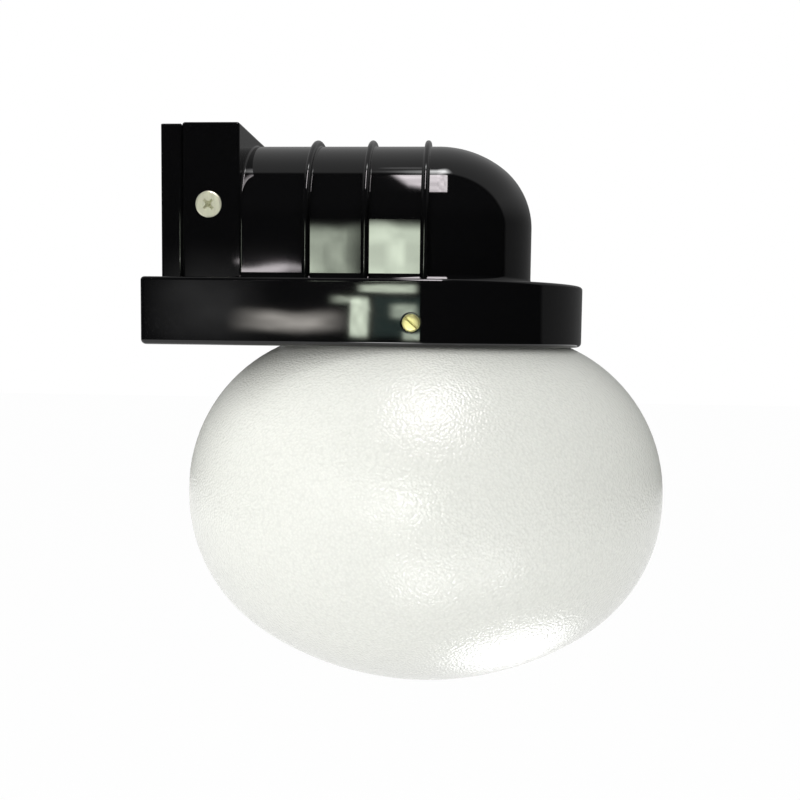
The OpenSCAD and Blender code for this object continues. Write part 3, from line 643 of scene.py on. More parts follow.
class HousingForm:
    """Heights and outlines that the housing's surfaces share."""

    def __init__(self, sizes):
        self.sizes = sizes
        self.top_z = HOUSING_HIGH[2]
        self.low_z = HOUSING_LOW[2]
        self.gallery_z = self.low_z + sizes.gallery_h
        self.roof_z = self.gallery_z - sizes.gallery_top
        self.spring_z = self.top_z - sizes.crown_drop - sizes.arch_rise
        self.shoulder = 1.5 * sizes.arch_rise - 0.5 * sizes.arm_half
        self.flange_x = sizes.plate_t + sizes.flange_d

    def arch(self, inset):
        """Half of the arm's arch, from its spring up to the crown."""
        s = self.sizes
        quarter = oval_arcs(s.arm_half - inset, s.arch_rise - inset, self.shoulder - inset)
        return [(r, self.spring_z + z) for r, z in quarter]

    def arm_row(self, swell):
        """Half section of the arm, from its foot up, pushed out by swell."""
        s = self.sizes
        fillet = arc((s.arm_half + s.foot_fillet, self.gallery_z + s.foot_fillet),
                     s.foot_fillet, 270, 180, 7)
        row = [(s.arm_half + s.foot_fillet, self.gallery_z - OVER)]
        row += [(max(r, s.arm_half + swell), z) for r, z in fillet]
        middle = (self.gallery_z + s.foot_fillet + self.spring_z) / 2
        row.append((s.arm_half + swell, middle))
        outline = oval_arcs(s.arm_half + swell, s.arch_rise + swell, self.shoulder + swell)
        return row + [(r, self.spring_z + z) for r, z in outline]

    def rib_steps(self, at):
        """Places and heights across one rib, with filleted foot and round top."""
        s = self.sizes
        half, foot = s.rib_w / 2, RIB_FOOT
        left = arc((-half - foot, foot), foot, 270, 360, 4)
        left += arc((0, s.rib_h - half), half, 180, 90, 6)
        both = left + [(-x, h) for x, h in reversed(left[:-1])]
        return [(at + x, h) for x, h in both]

    def arm_steps(self):
        """Places and heights along the arm, from the box to the elbow."""
        s = self.sizes
        steps = [(self.flange_x - OVER, s.root_fillet)]
        steps += arc((self.flange_x + s.root_fillet, s.root_fillet), s.root_fillet, 180, 270, 4)
        for rib in range(s.rib_count):
            steps += self.rib_steps(s.rib_x + rib * s.rib_pitch)
        return steps + [(s.elbow_x, 0.0)]


def split_long_steps(steps, longest):
    """Adds places where two neighbours lie further apart than longest."""
    out = [steps[0]]
    for x, h in steps[1:]:
        gap = x - out[-1][0]
        count = max(1, math.ceil(gap / longest))
        x0, h0 = out[-1]
        out += [(x0 + gap * i / count, h0 + (h - h0) * i / count) for i in range(1, count + 1)]
    return out


def arm_skin(form):
    """The arm and elbow as one swept skin, closed below and behind."""
    s = form.sizes
    steps = split_long_steps(form.arm_steps(), LONGEST_STEP)
    columns = [[(x, -r, z) for r, z in form.arm_row(swell)] for x, swell in steps]
    row = form.arm_row(0.0)
    for turn in range(1, ELBOW_TURNS):
        bend = math.pi * turn / ELBOW_TURNS
        columns.append([(s.elbow_x + r * math.sin(bend), -r * math.cos(bend), z) for r, z in row])
    columns += [[(x, r, z) for r, z in form.arm_row(swell)] for x, swell in reversed(steps)]
    count = len(row)
    vertices = [point for column in columns for point in column]
    faces = []
    for i in range(len(columns) - 1):
        for k in range(count - 1):
            a, b = i * count + k, (i + 1) * count + k
            faces.append((a, b, b + 1, a + 1))
    last = (len(columns) - 1) * count
    faces.append(tuple(i * count for i in reversed(range(len(columns)))))
    faces.append(tuple(range(count)) + tuple(last + k for k in reversed(range(count - 1))))
    return make_piece("housing_shell", vertices, faces, MOULDING)


def gallery_ring(form, inset, z):
    """The gallery's plan outline drawn in by inset."""
    s, r = form.sizes, form.sizes.gallery_r
    ring = arc((CORNER_R, -(r - CORNER_R)), CORNER_R - inset, 180, 270, 5)
    ring += [(x, -(r - inset)) for x in (25.0, 50.0)]
    ring += arc((s.gallery_x, 0), r - inset, -90, 90, MEDIUM)
    ring += [(x, r - inset) for x in (50.0, 25.0)]
    ring += arc((CORNER_R, r - CORNER_R), CORNER_R - inset, 90, 180, 5)
    return [(x, y, z) for x, y in ring]


def gallery_skin(form):
    """The gallery's outside with its rounded edges."""
    low = arc((LOW_R, form.low_z + LOW_R), LOW_R, 270, 180, 6)
    top = arc((TOP_R, form.gallery_z - TOP_R), TOP_R, 180, 90, 5)
    return loft("gallery", [gallery_ring(form, inset, z) for inset, z in low + top], MOULDING)


def arch_prism(form, inset, foot, x0, x1):
    """The arm's section pushed along X."""
    half = [(form.sizes.arm_half - inset, foot), *form.arch(inset)]
    outline = [(-r, z) for r, z in half] + [(r, z) for r, z in reversed(half[:-1])]
    return loft("tunnel", [[(x, y, z) for y, z in outline] for x in (x0, x1)], MOULDING)


def rod(name, radius, start, end, centre, axis, steps=48):
    """A plain cylinder used as a tool or boss."""
    return lathe(name, [(radius, start), (radius, end)], MOULDING, centre, axis, steps)


def housing_shell(form):
    """The moulding with its cavities."""
    s = form.sizes
    shell = arm_skin(form)
    carve(shell, gallery_skin(form), "UNION")
    box_low = (s.plate_t, -s.flange_w / 2, form.roof_z + 0.3)
    box_high = (form.flange_x, s.flange_w / 2, form.top_z)
    carve(shell, block("flange", box_low, box_high, s.edge_r), "UNION")

    half_box = s.flange_w / 2 - s.flange_wall
    carve(shell, block("box", (s.plate_t - OVER, -half_box, form.gallery_z),
                       (form.flange_x - s.flange_wall, half_box, form.top_z - s.flange_wall)))
    carve(shell, arch_prism(form, s.arm_wall, form.gallery_z, s.plate_t, s.elbow_x))
    dome = [(s.arm_half - s.arm_wall, form.low_z - OVER), *form.arch(s.arm_wall)]
    dome[-1] = (NO_RADIUS, dome[-1][1])
    carve(shell, lathe("dome", dome, MOULDING, (s.elbow_x, 0, 0), "Z", 144))
    low, roof, axis = form.low_z, form.roof_z, (s.gallery_x, 0, 0)
    well = s.gallery_r - s.skirt_wall
    carve(shell, rod("well", well, low - OVER, roof, axis, "Z", FINE))
    pocket = block("pocket", (s.skirt_wall, -well, low - OVER), (s.gallery_x, well, roof))
    carve(pocket, rod("collar", well + COLLAR_WALL, low + 1.5, roof + 5, axis, "Z", FINE))
    carve(shell, pocket)
    return shell


def grip_places(sizes, screws):
    """Centre and axis of each of the three gallery screws."""
    height = HOUSING_LOW[2] + screws.grip_up
    back = sizes.gallery_x - screws.grip_back
    return {"front": ((sizes.gallery_x, 0, height), "X"), "near": ((back, 0, height), "-Y"),
            "far": ((back, 0, height), "Y")}


def fit_screw_seats(form, shell, screws):
    """Adds the pads and bosses, then drills every screw hole."""
    s = form.sizes
    well = s.gallery_r - s.skirt_wall
    places = grip_places(s, screws).values()
    for centre, axis in places:
        carve(shell, rod("pad", PAD_R, well - PAD_T, well + 0.5, centre, axis), "UNION")
    foot, root = form.roof_z - BOSS_L, form.roof_z + 0.5
    for side in (-1, 1):
        centre = (s.gallery_x, side * BOSS_Y, 0)
        carve(shell, rod("boss", BOSS_R, foot, root, centre, "Z"), "UNION")
        carve(shell, rod("drill", BOSS_HOLE_R, foot - OVER, root, centre, "Z"))
    bore_floor = s.gallery_r - BORE_FLOOR
    sink = [(SINK_R, bore_floor - 0.01), (SINK_R, s.gallery_r - 0.25), (SINK_WIDE, s.gallery_r + 0.5)]
    for centre, axis in places:
        carve(shell, rod("bore", BORE_R, well - PAD_T - OVER, bore_floor, centre, axis))
        carve(shell, lathe("counterbore", sink, MOULDING, centre, axis, 48))
    side_y = s.flange_w / 2
    centre = (screws.side_x, 0, screws.side_z)
    sink = [(1.9, side_y - 2.2), (SUNK_SEAT_R, side_y - 0.15), (SUNK_SEAT_R, side_y + OVER)]
    for axis in ("-Y", "Y"):
        carve(shell, rod("clearance", CLEAR_R, side_y - s.flange_wall - OVER, side_y + OVER, centre, axis))
        carve(shell, lathe("countersink", sink, MOULDING, centre, axis, 64))


# Operators


class WALLLIGHT_OT_finishes(bpy.types.Operator):
    """Builds the shared effects and the materials, and dresses the frame's nodes"""

    bl_idname = "walllight.finishes"
    bl_label = "Finishes"

    def execute(self, context):
        build_materials(context.scene.walllight_finish, context.scene.walllight_globe.grain)
        slots = {part["node"]: part["material_slot"] for part in frame["record"]["subparts"]}
        for name, node in frame["nodes"].items():
            node.data.materials.clear()
            node.data.materials.append(MATERIALS[slots[name]])
        return {"FINISHED"}


class WALLLIGHT_OT_housing(bpy.types.Operator):
    """Builds the moulded housing with its rounded ribs and fillets"""

    bl_idname = "walllight.housing"
    bl_label = "Housing"

    def execute(self, context):
        form = HousingForm(context.scene.walllight_housing)
        shell = housing_shell(form)
        fit_screw_seats(form, shell, context.scene.walllight_screws)
        finish_piece(shell, "housing", degrees=32, weighted=True)
        return {"FINISHED"}


def globe_profile(sizes):
    """The glass's section, up the outside, round the bead and down the inside."""
    s = sizes
    half = GLOBE_HIGH[0] - (GLOBE_LOW[0] + GLOBE_HIGH[0]) / 2
    crown_z = HOUSING_LOW[2] + s.rise
    rise = (crown_z - GLOBE_LOW[2]) / 2
    middle = crown_z - rise
    top = GLOBE_HIGH[2]
    upper_z = middle + s.shoulder_lift
    upper_rise = crown_z - s.shoulder_drop - upper_z

    def upper(inset):
        quarter = oval_arcs(half - inset, upper_rise - inset, s.side_r - inset)
        return [(r, upper_z + z) for r, z in quarter]

    def lower(inset):
        quarter = oval_arcs(half - inset, rise - inset, s.side_r - inset)
        return [(r, middle - z) for r, z in quarter]

    # The fillet's centre lies its own radius off both the neck and the crown's arc.
    crown_r = crown_radius(half, upper_rise, s.side_r)
    crown_c = upper_z + upper_rise - crown_r
    fillet_x = s.neck_r + s.neck_fillet
    fillet_z = crown_c + math.sqrt((crown_r + s.neck_fillet) ** 2 - fillet_x**2)
    touch = math.degrees(math.atan2(crown_c - fillet_z, -fillet_x))
    touch_r = fillet_x + s.neck_fillet * math.cos(math.radians(touch))
    outside = list(reversed(lower(0))) + [(r, z) for r, z in upper(0) if r > touch_r + 0.4]
    fillet = arc((fillet_x, fillet_z), s.neck_fillet, touch + 360, 180, 8)
    bead = arc((s.neck_r + 0.1, top - s.bead_r), s.bead_r, -90, 90, 12)
    inner_r = s.neck_r - s.wall
    inside = [(r, z) for r, z in reversed(upper(s.wall)) if r > inner_r] + lower(s.wall)
    neck = [(s.neck_r, top - 2 * s.bead_r - 0.1)]
    return outside + fillet + neck + bead + [(inner_r, top), (inner_r, inside[0][1] + 0.6)] + inside


class WALLLIGHT_OT_globe(bpy.types.Operator):
    """Builds the oval glass globe with its neck and bead"""

    bl_idname = "walllight.globe"
    bl_label = "Globe"

    def execute(self, context):
        profile = globe_profile(context.scene.walllight_globe)
        centre = ((GLOBE_LOW[0] + GLOBE_HIGH[0]) / 2, 0, 0)
        glass = lathe("globe_glass", profile, "frosted_glass", centre, "Z", FINE, capped=False)
        finish_piece(glass, "globe", degrees=50)
        return {"FINISHED"}


# Screws

SIDE_THREAD, GRIP_THREAD = 0.42, 0.3  # depths of their threads
CROSS_W, CROSS_L, CROSS_DEPTH = 1.0, 4.4, 1.35  # the cross recess
CROSS_TAPER = (0.35, 0.3)
TICK_W, TICK_L, TICK_DEPTH = 0.16, 4.9, 0.09  # the lines pressed between its arms
SLOT_W, SLOT_L, SLOT_DEPTH = 0.66, 6.0, 0.95
SLOT_TAPER = (1.0, 0.1)
SLOT_TURN = -40  # degrees
HEAD_EDGE = 0.28  # rounding of a slotted head
ABOVE = 0.3  # by which tools stand over a head


def sunk_screw(name, sizes, screws, axis):
    """A countersunk cross-head screw with its thread."""
    s, slot = screws, "zinc_steel"
    centre = (s.side_x, 0, s.side_z)
    top = sizes.flange_w / 2 + s.sunk_proud
    under = top - 0.35 - (s.sunk_r - s.side_r)
    neck = s.side_r * 0.92
    head = [(neck, under - 0.4), (neck, under), (s.sunk_r - 0.02, top - 0.4), (s.sunk_r, top - 0.3),
            (s.sunk_r - 0.45, top - 0.03), (s.sunk_r - 0.5, top)]
    screw = lathe(name, head, slot, centre, axis, 72)
    shank = [(s.side_r - 0.55, top - s.side_l)]
    shank += thread(s.side_r, SIDE_THREAD, s.side_pitch, top - s.side_l, under - 0.3)[2:]
    shank += [(s.side_r * 0.9, under - 0.2)]
    carve(screw, lathe("shank", shank, slot, centre, axis, 40), "UNION")
    for turn in (45, 135):
        carve(screw, bar(slot, centre, axis, turn, CROSS_W, CROSS_L, top - CROSS_DEPTH, top + ABOVE,
                         CROSS_TAPER))
    middle = [(0.05, top - 2.1), (0.75, top - 0.8), (1.05, top + ABOVE)]
    carve(screw, lathe("middle", middle, slot, centre, axis, 24))
    for turn in (0, 90):
        carve(screw, bar(slot, centre, axis, turn, TICK_W, TICK_L, top - TICK_DEPTH, top + ABOVE))
    return screw


def slotted_screw(name, screws, top, tip, centre, axis):
    """A slotted cheese-head screw with its thread."""
    s, slot = screws, "brass"
    low, neck = top - s.grip_head_h, s.grip_r * 0.9
    head = [(neck, low - 0.3), (neck, low), (s.grip_head_r - 0.1, low), (s.grip_head_r, low + 0.1)]
    head += arc((s.grip_head_r - HEAD_EDGE, top - 0.34), HEAD_EDGE, 0, 80, 5)
    head += [(s.grip_head_r - 0.8, top - 0.02), (s.grip_head_r - 1.5, top)]
    screw = lathe(name, head, slot, centre, axis, 64)
    shank = [(s.grip_r - 0.5, tip)]
    shank += thread(s.grip_r, GRIP_THREAD, s.grip_pitch, tip, low - 0.1)[2:]
    shank += [(s.grip_r * 0.88, low)]
    carve(screw, lathe("shank", shank, slot, centre, axis, 36), "UNION")
    carve(screw, bar(slot, centre, axis, SLOT_TURN, SLOT_W, SLOT_L, top - SLOT_DEPTH, top + 0.4,
                     SLOT_TAPER))
    return screw


class WALLLIGHT_OT_screws(bpy.types.Operator):
    """Builds the housing screws and the three gallery screws"""

    bl_idname = "walllight.screws"
    bl_label = "Screws"

    def execute(self, context):
        sizes, screws = context.scene.walllight_housing, context.scene.walllight_screws
        for side, axis in (("near", "-Y"), ("far", "Y")):
            piece = sunk_screw("housing_screw_" + side, sizes, screws, axis)
            finish_piece(piece, "housing_screws", degrees=24)
        top = sizes.gallery_r - screws.grip_sink
        tip = context.scene.walllight_globe.neck_r + screws.tip_gap
        for side, (centre, axis) in grip_places(sizes, screws).items():
            piece = slotted_screw("gallery_screw_" + side, screws, top, tip, centre, axis)
            finish_piece(piece, side + "_gallery_screw", side + "_grip")
        return {"FINISHED"}


# Lampholder, lamp and wires

CHAMFER = 0.3
CAP_ROUND, CAP_WALL, CAP_ROOF, CAP_BORE_R = 4, 2, 2.5, 12.5
FLUTES, FLUTE_DEPTH = 30, 0.45
LIP_T, LIP_H, LIP_CHAMFER = 1.2, 3.0, 0.4  # the skirt's lip
SEAT_R, SEAT_H = 15.6, 3  # the skirt's seat for the insert
SHELL_L, SHELL_THREAD = 25.0, 0.95
NIPPLE_L, NIPPLE_THREAD, NIPPLE_BORE_R = 9.0, 0.55, 3.6
NUT_R, NUT_H, NUT_BORE_R = 8.08, 3, 5.06
LAMP_THREAD, LAMP_NECK_R, LAMP_FILLET = 0.9, 12.4, 4.0
WIRE_R = 0.97


def fluted(radius, depth, count):
    """A radius with shallow flutes round it."""
    return lambda turn: radius - depth * max(0.0, math.cos(2 * math.pi * count * turn)) ** 2


class WALLLIGHT_OT_holder(bpy.types.Operator):
    """Builds the lampholder's cap, fluted skirt, threaded shell, nipple and nut"""

    bl_idname = "walllight.holder"
    bl_label = "Lampholder"

    def execute(self, context):
        s = context.scene.walllight_holder
        axis = (context.scene.walllight_housing.gallery_x, 0, 0)
        low = s.bridge_z - s.cap_h
        self.build_cap(s, axis, low)
        self.build_skirt(s, axis, low)
        self.build_shell(s, axis, low)
        self.build_fixings(s, axis)
        return {"FINISHED"}

    def build_cap(self, s, axis, low):
        """The cap: a rounded cup with a hole for the nipple."""
        r, wall, top = s.holder_r, s.holder_r - CAP_WALL, s.bridge_z
        hole, roof = s.nipple_r + 0.06, s.bridge_z - CAP_ROOF
        profile = [(r - CHAMFER, low), (r, low + CHAMFER)]
        profile += arc((r - CAP_ROUND, top - CAP_ROUND), CAP_ROUND, 0, 90, 12)
        profile += [(hole + CHAMFER, top), (hole, top - CHAMFER), (hole, roof), (CAP_BORE_R, roof),
                    (CAP_BORE_R, top - CAP_ROUND), (wall, top - CAP_ROUND), (wall, low)]
        cap = ring_body("holder_cap_cup", profile, "white_plastic", axis, MEDIUM)
        finish_piece(cap, "holder_cap")

    def build_skirt(self, s, axis, low):
        """The skirt: a fluted ring with a plain lip."""
        r, foot = s.holder_r, low - s.skirt_h
        lip_r, lip_top = r + LIP_T, foot + LIP_H
        grip = fluted(r, FLUTE_DEPTH, FLUTES)
        profile = [(s.skirt_in + CHAMFER, foot), (lip_r - LIP_CHAMFER, foot),
                   (lip_r, foot + LIP_CHAMFER), (lip_r, lip_top - LIP_CHAMFER),
                   (lip_r - LIP_CHAMFER, lip_top), (r, lip_top), (r, foot + 4.0)]
        profile += [(grip, foot + 4.6), (grip, foot + 12), (grip, low - 3.6), (r, low - 3.0)]
        profile += [(r, low - CHAMFER), (r - CHAMFER, low), (SEAT_R, low),
                    (SEAT_R - 0.1, low - SEAT_H), (s.skirt_in, low - SEAT_H),
                    (s.skirt_in, foot + CHAMFER)]
        skirt = ring_body("holder_skirt_ring", profile, "white_plastic", axis, 240)
        finish_piece(skirt, "holder_skirt", degrees=40)

    def build_shell(self, s, axis, low):
        """The shell: thin metal with the lamp's rounded thread pressed into it."""
        foot, top, inner = low - SHELL_L, low - SEAT_H, s.shell_r - s.shell_t
        outside, inside = [thread(r, SHELL_THREAD, s.cap_pitch, foot + 0.4, top - 0.4, soft=True)
                           for r in (s.shell_r, inner)]
        rings = [(s.shell_r, foot)] + outside + [(s.shell_r, top), (inner, top)]
        rings += list(reversed(inside)) + [(inner, foot)]
        shell = ring_body("holder_shell_thread", rings, "brass", axis, 80)
        finish_piece(shell, "holder_shell", degrees=60)

    def build_fixings(self, s, axis):
        """The hollow nipple and its nut."""
        base, tip_r = s.bridge_z - CAP_ROOF, s.nipple_r - 0.5
        end = base + NIPPLE_L
        rings = [(tip_r, base)] + thread(s.nipple_r, NIPPLE_THREAD, 1.0, base, end)
        rings += [(tip_r, end), (3.8, end), (NIPPLE_BORE_R, base + 8.8), (NIPPLE_BORE_R, base)]
        nipple = ring_body("nipple_tube", rings, "zinc_steel", axis, 48)
        finish_piece(nipple, "nipple", degrees=50)
        slot, seat = "pressed_steel", s.bridge_z + 1.2
        top = seat + NUT_H
        nut = lathe("nipple_nut_hex", [(NUT_R, seat), (NUT_R, top)], slot, axis, "Z", 6)
        dome = [(6.9, seat), (8.1, seat + 0.7), (8.1, seat + 2.3), (6.9, top)]
        carve(nut, lathe("chamfer", dome, slot, axis, "Z", MEDIUM), "INTERSECT")
        bore = [(5.5, seat - 1), (5.5, seat), (NUT_BORE_R, seat + 0.5), (NUT_BORE_R, seat + 2.5),
                (5.5, top), (5.5, top + 1)]
        carve(nut, lathe("bore", bore, slot, axis, "Z", 48))
        finish_piece(nut, "nipple_nut")


class WALLLIGHT_OT_lamp(bpy.types.Operator):
    """Builds the lamp: opal bulb, threaded cap, black insulator and contact"""

    bl_idname = "walllight.lamp"
    bl_label = "Lamp"

    def execute(self, context):
        s = context.scene.walllight_holder
        axis = (context.scene.walllight_housing.gallery_x, 0, 0)
        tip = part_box("lamp")[1][2] / MM
        root = tip - s.cap_l
        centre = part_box("lamp")[0][2] / MM + s.bulb_r
        neck, fillet = LAMP_NECK_R, LAMP_FILLET
        lift = math.sqrt((s.bulb_r + fillet) ** 2 - (neck + fillet) ** 2)
        touch = math.degrees(math.atan2(lift, neck + fillet))
        glass = arc((0, centre), s.bulb_r, -90, touch, 44)
        glass[0] = (0.01, centre - s.bulb_r)
        glass += arc((neck + fillet, centre + lift), fillet, 180 + touch, 180, 8)[1:]
        glass += [(neck, root + 0.4)]
        cap = [(neck - 0.3, root - 0.2), (s.cap_r - 0.2, root - 0.1), (s.cap_r, root + 0.3)]
        cap += thread(s.cap_r, LAMP_THREAD, s.cap_pitch, root + 1.4, tip - 4.6, soft=True)
        cap += [(s.cap_r - 1.6, tip - 4.2), (s.cap_r - 2.8, tip - 3.9)]
        cone = [(s.cap_r - 2.6, tip - 3.9), (8.4, tip - 3.2), (6.0, tip - 1.3), (4.4, tip - 0.9)]
        button = [(4.3, tip - 1.1), (4.3, tip - 0.6), (3.4, tip - 0.2), (1.5, tip - 0.02), (0.01, tip)]
        for name, profile, slot, steps, degrees in (
            ("lamp_bulb", glass, "opal_lamp", 96, 50),
            ("lamp_cap", cap, "pressed_steel", 80, 60),
            ("lamp_insulator", cone, MOULDING, 64, 50),
            ("lamp_contact", button, "pressed_steel", 48, 50),
        ):
            piece = lathe(name, profile, slot, axis, "Z", steps)
            finish_piece(piece, "lamp", degrees=degrees)
        return {"FINISHED"}


# The middle of the lead on the +Y side, from the terminal block to the lampholder
LEAD_ROUTE = (
    (6.6, 5, 8), (6.6, 5, 12.5), (7, 5, 15), (8.6, 5, 16.6), (11.4, 5, 17), (18, 4.7, 16.2),
    (28, 4.1, 15), (40, 3.4, 14.4), (52, 2.7, 14.6), (63, 2, 15.4), (70, 1.5, 16),
    (73.8, 1.3, 15.7), (76.4, 1.3, 14.2), (77.4, 1.3, 11.6), (77.4, 1.3, 6), (77.4, 1.6, 2.8),
    (77.4, 3.4, 1), (77.4, 6.2, -0.2), (77.4, 7.5, -2.2), (77.4, 7.5, -5),
)


def smooth_route(points, side):
    """A smooth path through the points, on one side of the middle."""
    spots = [Vector((x, side * y, z)) for x, y, z in points]
    path = []
    for i in range(len(spots) - 1):
        a, b = spots[max(i - 1, 0)], spots[i]
        c, d = spots[i + 1], spots[min(i + 2, len(spots) - 1)]
        for part in range(ROUTE_PARTS):
            t = part / ROUTE_PARTS
            path.append(0.5 * (2 * b + (c - a) * t + (2 * a - 5 * b + 4 * c - d) * t**2
                               + (3 * b - a - 3 * c + d) * t**3))
    return [*path, spots[-1]]


class WALLLIGHT_OT_wires(bpy.types.Operator):
    """Builds the two insulated wires from terminal block to lampholder"""

    bl_idname = "walllight.wires"
    bl_label = "Wires"

    def execute(self, context):
        for name, side, slot in (("live_lead", 1, "brown_lead"), ("neutral_lead", -1, "blue_lead")):
            wire = tube(name + "_wire", smooth_route(LEAD_ROUTE, side), WIRE_R, slot)
            finish_piece(wire, name, degrees=50)
        return {"FINISHED"}


# Studio

WHITE = (1.0, 1.0, 1.0)
PALE_GREEN, WARM, PINK = (0.89, 1.0, 0.81), (1.0, 0.95, 0.88), (1.0, 0.93, 0.96)
TENT_R, TENT_FOOT, TENT_TOP = 1300, -12, 88  # the dark tent's radius, and its edges in degrees
FLOOR_REACH = 3000
ARM = (50, -30, -15)
MIDDLE = (70, 0, -60)

# The windows and lamps that the moulding and the globe mirror: name, place, target, extent,
# strength, colour and the share of each side that fades out.
CARDS = (
    ("left_panel", (-80, -950, 70), ARM, (62, 72), 7.2, PALE_GREEN, 0.25),
    ("right_panel", (0, -950, 72), ARM, (72, 76), 15.0, PALE_GREEN, 0.25),
    ("left_strip", (-99, -950, 62), ARM, (12, 52), 8.0, PALE_GREEN, 0.3),
    ("streak", (-166, -950, 53), ARM, (86, 7), 14.0, PINK, 0.25),
    ("roof", (-2, -950, 20), ARM, (82, 13), 12.0, PALE_GREEN, 0.2),
    ("wing", (-54, -950, 3), ARM, (56, 16), 7.0, PALE_GREEN, 0.4),
    ("stem", (-36, -950, -22), ARM, (24, 62), 15.0, PALE_GREEN, 0.15),
    ("pane", (15, -950, -12), ARM, (48, 28), 7.5, PALE_GREEN, 0.3),
    ("sill", (25, -950, -47), ARM, (28, 14), 9.0, PALE_GREEN, 0.2),
    ("haze", (10, -950, -20), ARM, (66, 64), 0.5, (0.6, 1.0, 0.9), 0.1),
    ("wall_band", (-123, -950, -27), ARM, (170, 42), 6.5, WARM, 0.4),
    ("side_band", (-235, -950, -5), ARM, (190, 170), 0.4, WHITE, 0.45),
    ("ceiling_window", (121, -450, 819), (85, -15, 18), (224, 520), 13.0, PINK, 0.07),
    ("ceiling_lamp", (120, -120, 836), (88, -68, -46), (250, 200), 14.0, WHITE, 0.45),
    ("front_lamp", (59.5, -172.5, -71.5), (74, -74, -81), (42, 36), 15.0, WHITE, 0.45),
    ("low_lamp", (85, -150, -163), (81, -74, -99), (36, 31), 22.0, WHITE, 0.45),
    ("right_low_lamp", (145, -141, -150), (97, -72, -96), (31, 24), 16.0, WHITE, 0.45),
    ("under_lamp", (148, 10, -268), (103, -55, -122), (130, 150), 8.0, WHITE, 0.35),
)
# The soft lamps: name, place, extent and power.
LAMPS = (
    ("key", (-480, -820, 60), (600, 500), 3.6),
    ("top", (60, -150, 900), (700, 500), 1.0),
    ("fill", (680, -640, 60), (500, 500), 0.9),
)


def aim(item, place, target):
    """Puts an object at a place and points it at a target."""
    item.location = Vector(place) * MM
    item.rotation_mode = "QUATERNION"
    item.rotation_quaternion = (Vector(target) - Vector(place)).to_track_quat("-Z", "Y")


def add_lamp(name, kind, place, target, power, **values):
    """A lamp that no gloss mirrors, with other values set as attributes."""
    data = bpy.data.lights.new(name, kind)
    data.energy = power
    for key, value in values.items():
        setattr(data, key, value)
    lamp = bpy.data.objects.new(name, data)
    aim(lamp, place, target)
    lamp.visible_glossy = False
    bpy.context.scene.collection.objects.link(lamp)


def shine(tree, shader, output="Material Output"):
    """Makes a shader the one that its material or world shows."""
    feed(tree, tree.nodes[output].inputs["Surface"], shader.outputs[0])


def split_by_ray(tree, share, plain, seen):
    """Mixes in one shader for camera, glossy and transmission rays, and leaves the other elsewhere."""
    paths = add_node(tree, "ShaderNodeLightPath").outputs
    mask = calculate(tree, "MAXIMUM", paths["Is Camera Ray"], paths["Is Glossy Ray"])
    mask = calculate(tree, "MAXIMUM", mask, paths["Is Transmission Ray"])
    mask = calculate(tree, "MULTIPLY", mask, share)
    mix = add_node(tree, "ShaderNodeMixShader")
    feed_in_order(tree, mix, mask, plain.outputs[0], seen.outputs[0])
    return mix


def build_world():
    """A white surround where it is seen, and a soft even light elsewhere."""
    world = bpy.data.worlds.new("Studio")
    bpy.context.scene.world = world
    world.use_nodes = True
    tree = world.node_tree
    soft = tree.nodes["Background"]
    dress(tree, soft, Color=(0.98, 0.99, 1.0, 1.0), Strength=0.76)
    bright = add_node(tree, "ShaderNodeBackground", Color=(*WHITE, 1.0), Strength=1.0)
    shine(tree, split_by_ray(tree, 1.0, soft, bright), "World Output")


def build_floor(height):
    """A pale floor that is white where it is seen and keeps a faint shadow."""
    material, tree, shader = new_material("Floor")
    dress(tree, shader, Base_Color=(0.97, 0.97, 0.97, 1.0), Roughness=0.9)
    glow = add_node(tree, "ShaderNodeEmission", Color=(*WHITE, 1.0), Strength=1.0)
    shine(tree, split_by_ray(tree, 0.95, shader, glow))
    MATERIALS["floor"] = material
    signs = ((-1, -1), (1, -1), (1, 1), (-1, 1))
    corners = [(x * FLOOR_REACH, y * FLOOR_REACH, height) for x, y in signs]
    make_piece("floor", corners, [(0, 1, 2, 3)], "floor")


def only_mirrored(piece):
    """Keeps a studio piece out of everything but reflections."""
    for kind in ("camera", "diffuse", "transmission", "shadow"):
        setattr(piece, "visible_" + kind, False)


def dark_flag():
    """A dark tent, paler behind and above, that keeps the gloss black."""
    material, tree, _ = new_material("Dark flag")
    axes = add_node(tree, "ShaderNodeSeparateXYZ", Vector=own_place(tree)).outputs
    lean = calculate(tree, "MULTIPLY_ADD", axes["Z"], 0.18, axes["Y"])
    behind = ease(tree, lean, -0.05, 0.05, 0.025, 0.37)
    above = ease(tree, axes["Z"], 0.13, 0.65, 0.35, 1.0)
    level = calculate(tree, "MULTIPLY", behind, above)
    shine(tree, add_node(tree, "ShaderNodeEmission", Color=(*WHITE, 1.0), Strength=level))
    MATERIALS["flag"] = material
    profile = arc((0, 0), TENT_R, TENT_FOOT, TENT_TOP, 20)
    only_mirrored(lathe("dark_flag", profile, "flag", steps=60, capped=False))


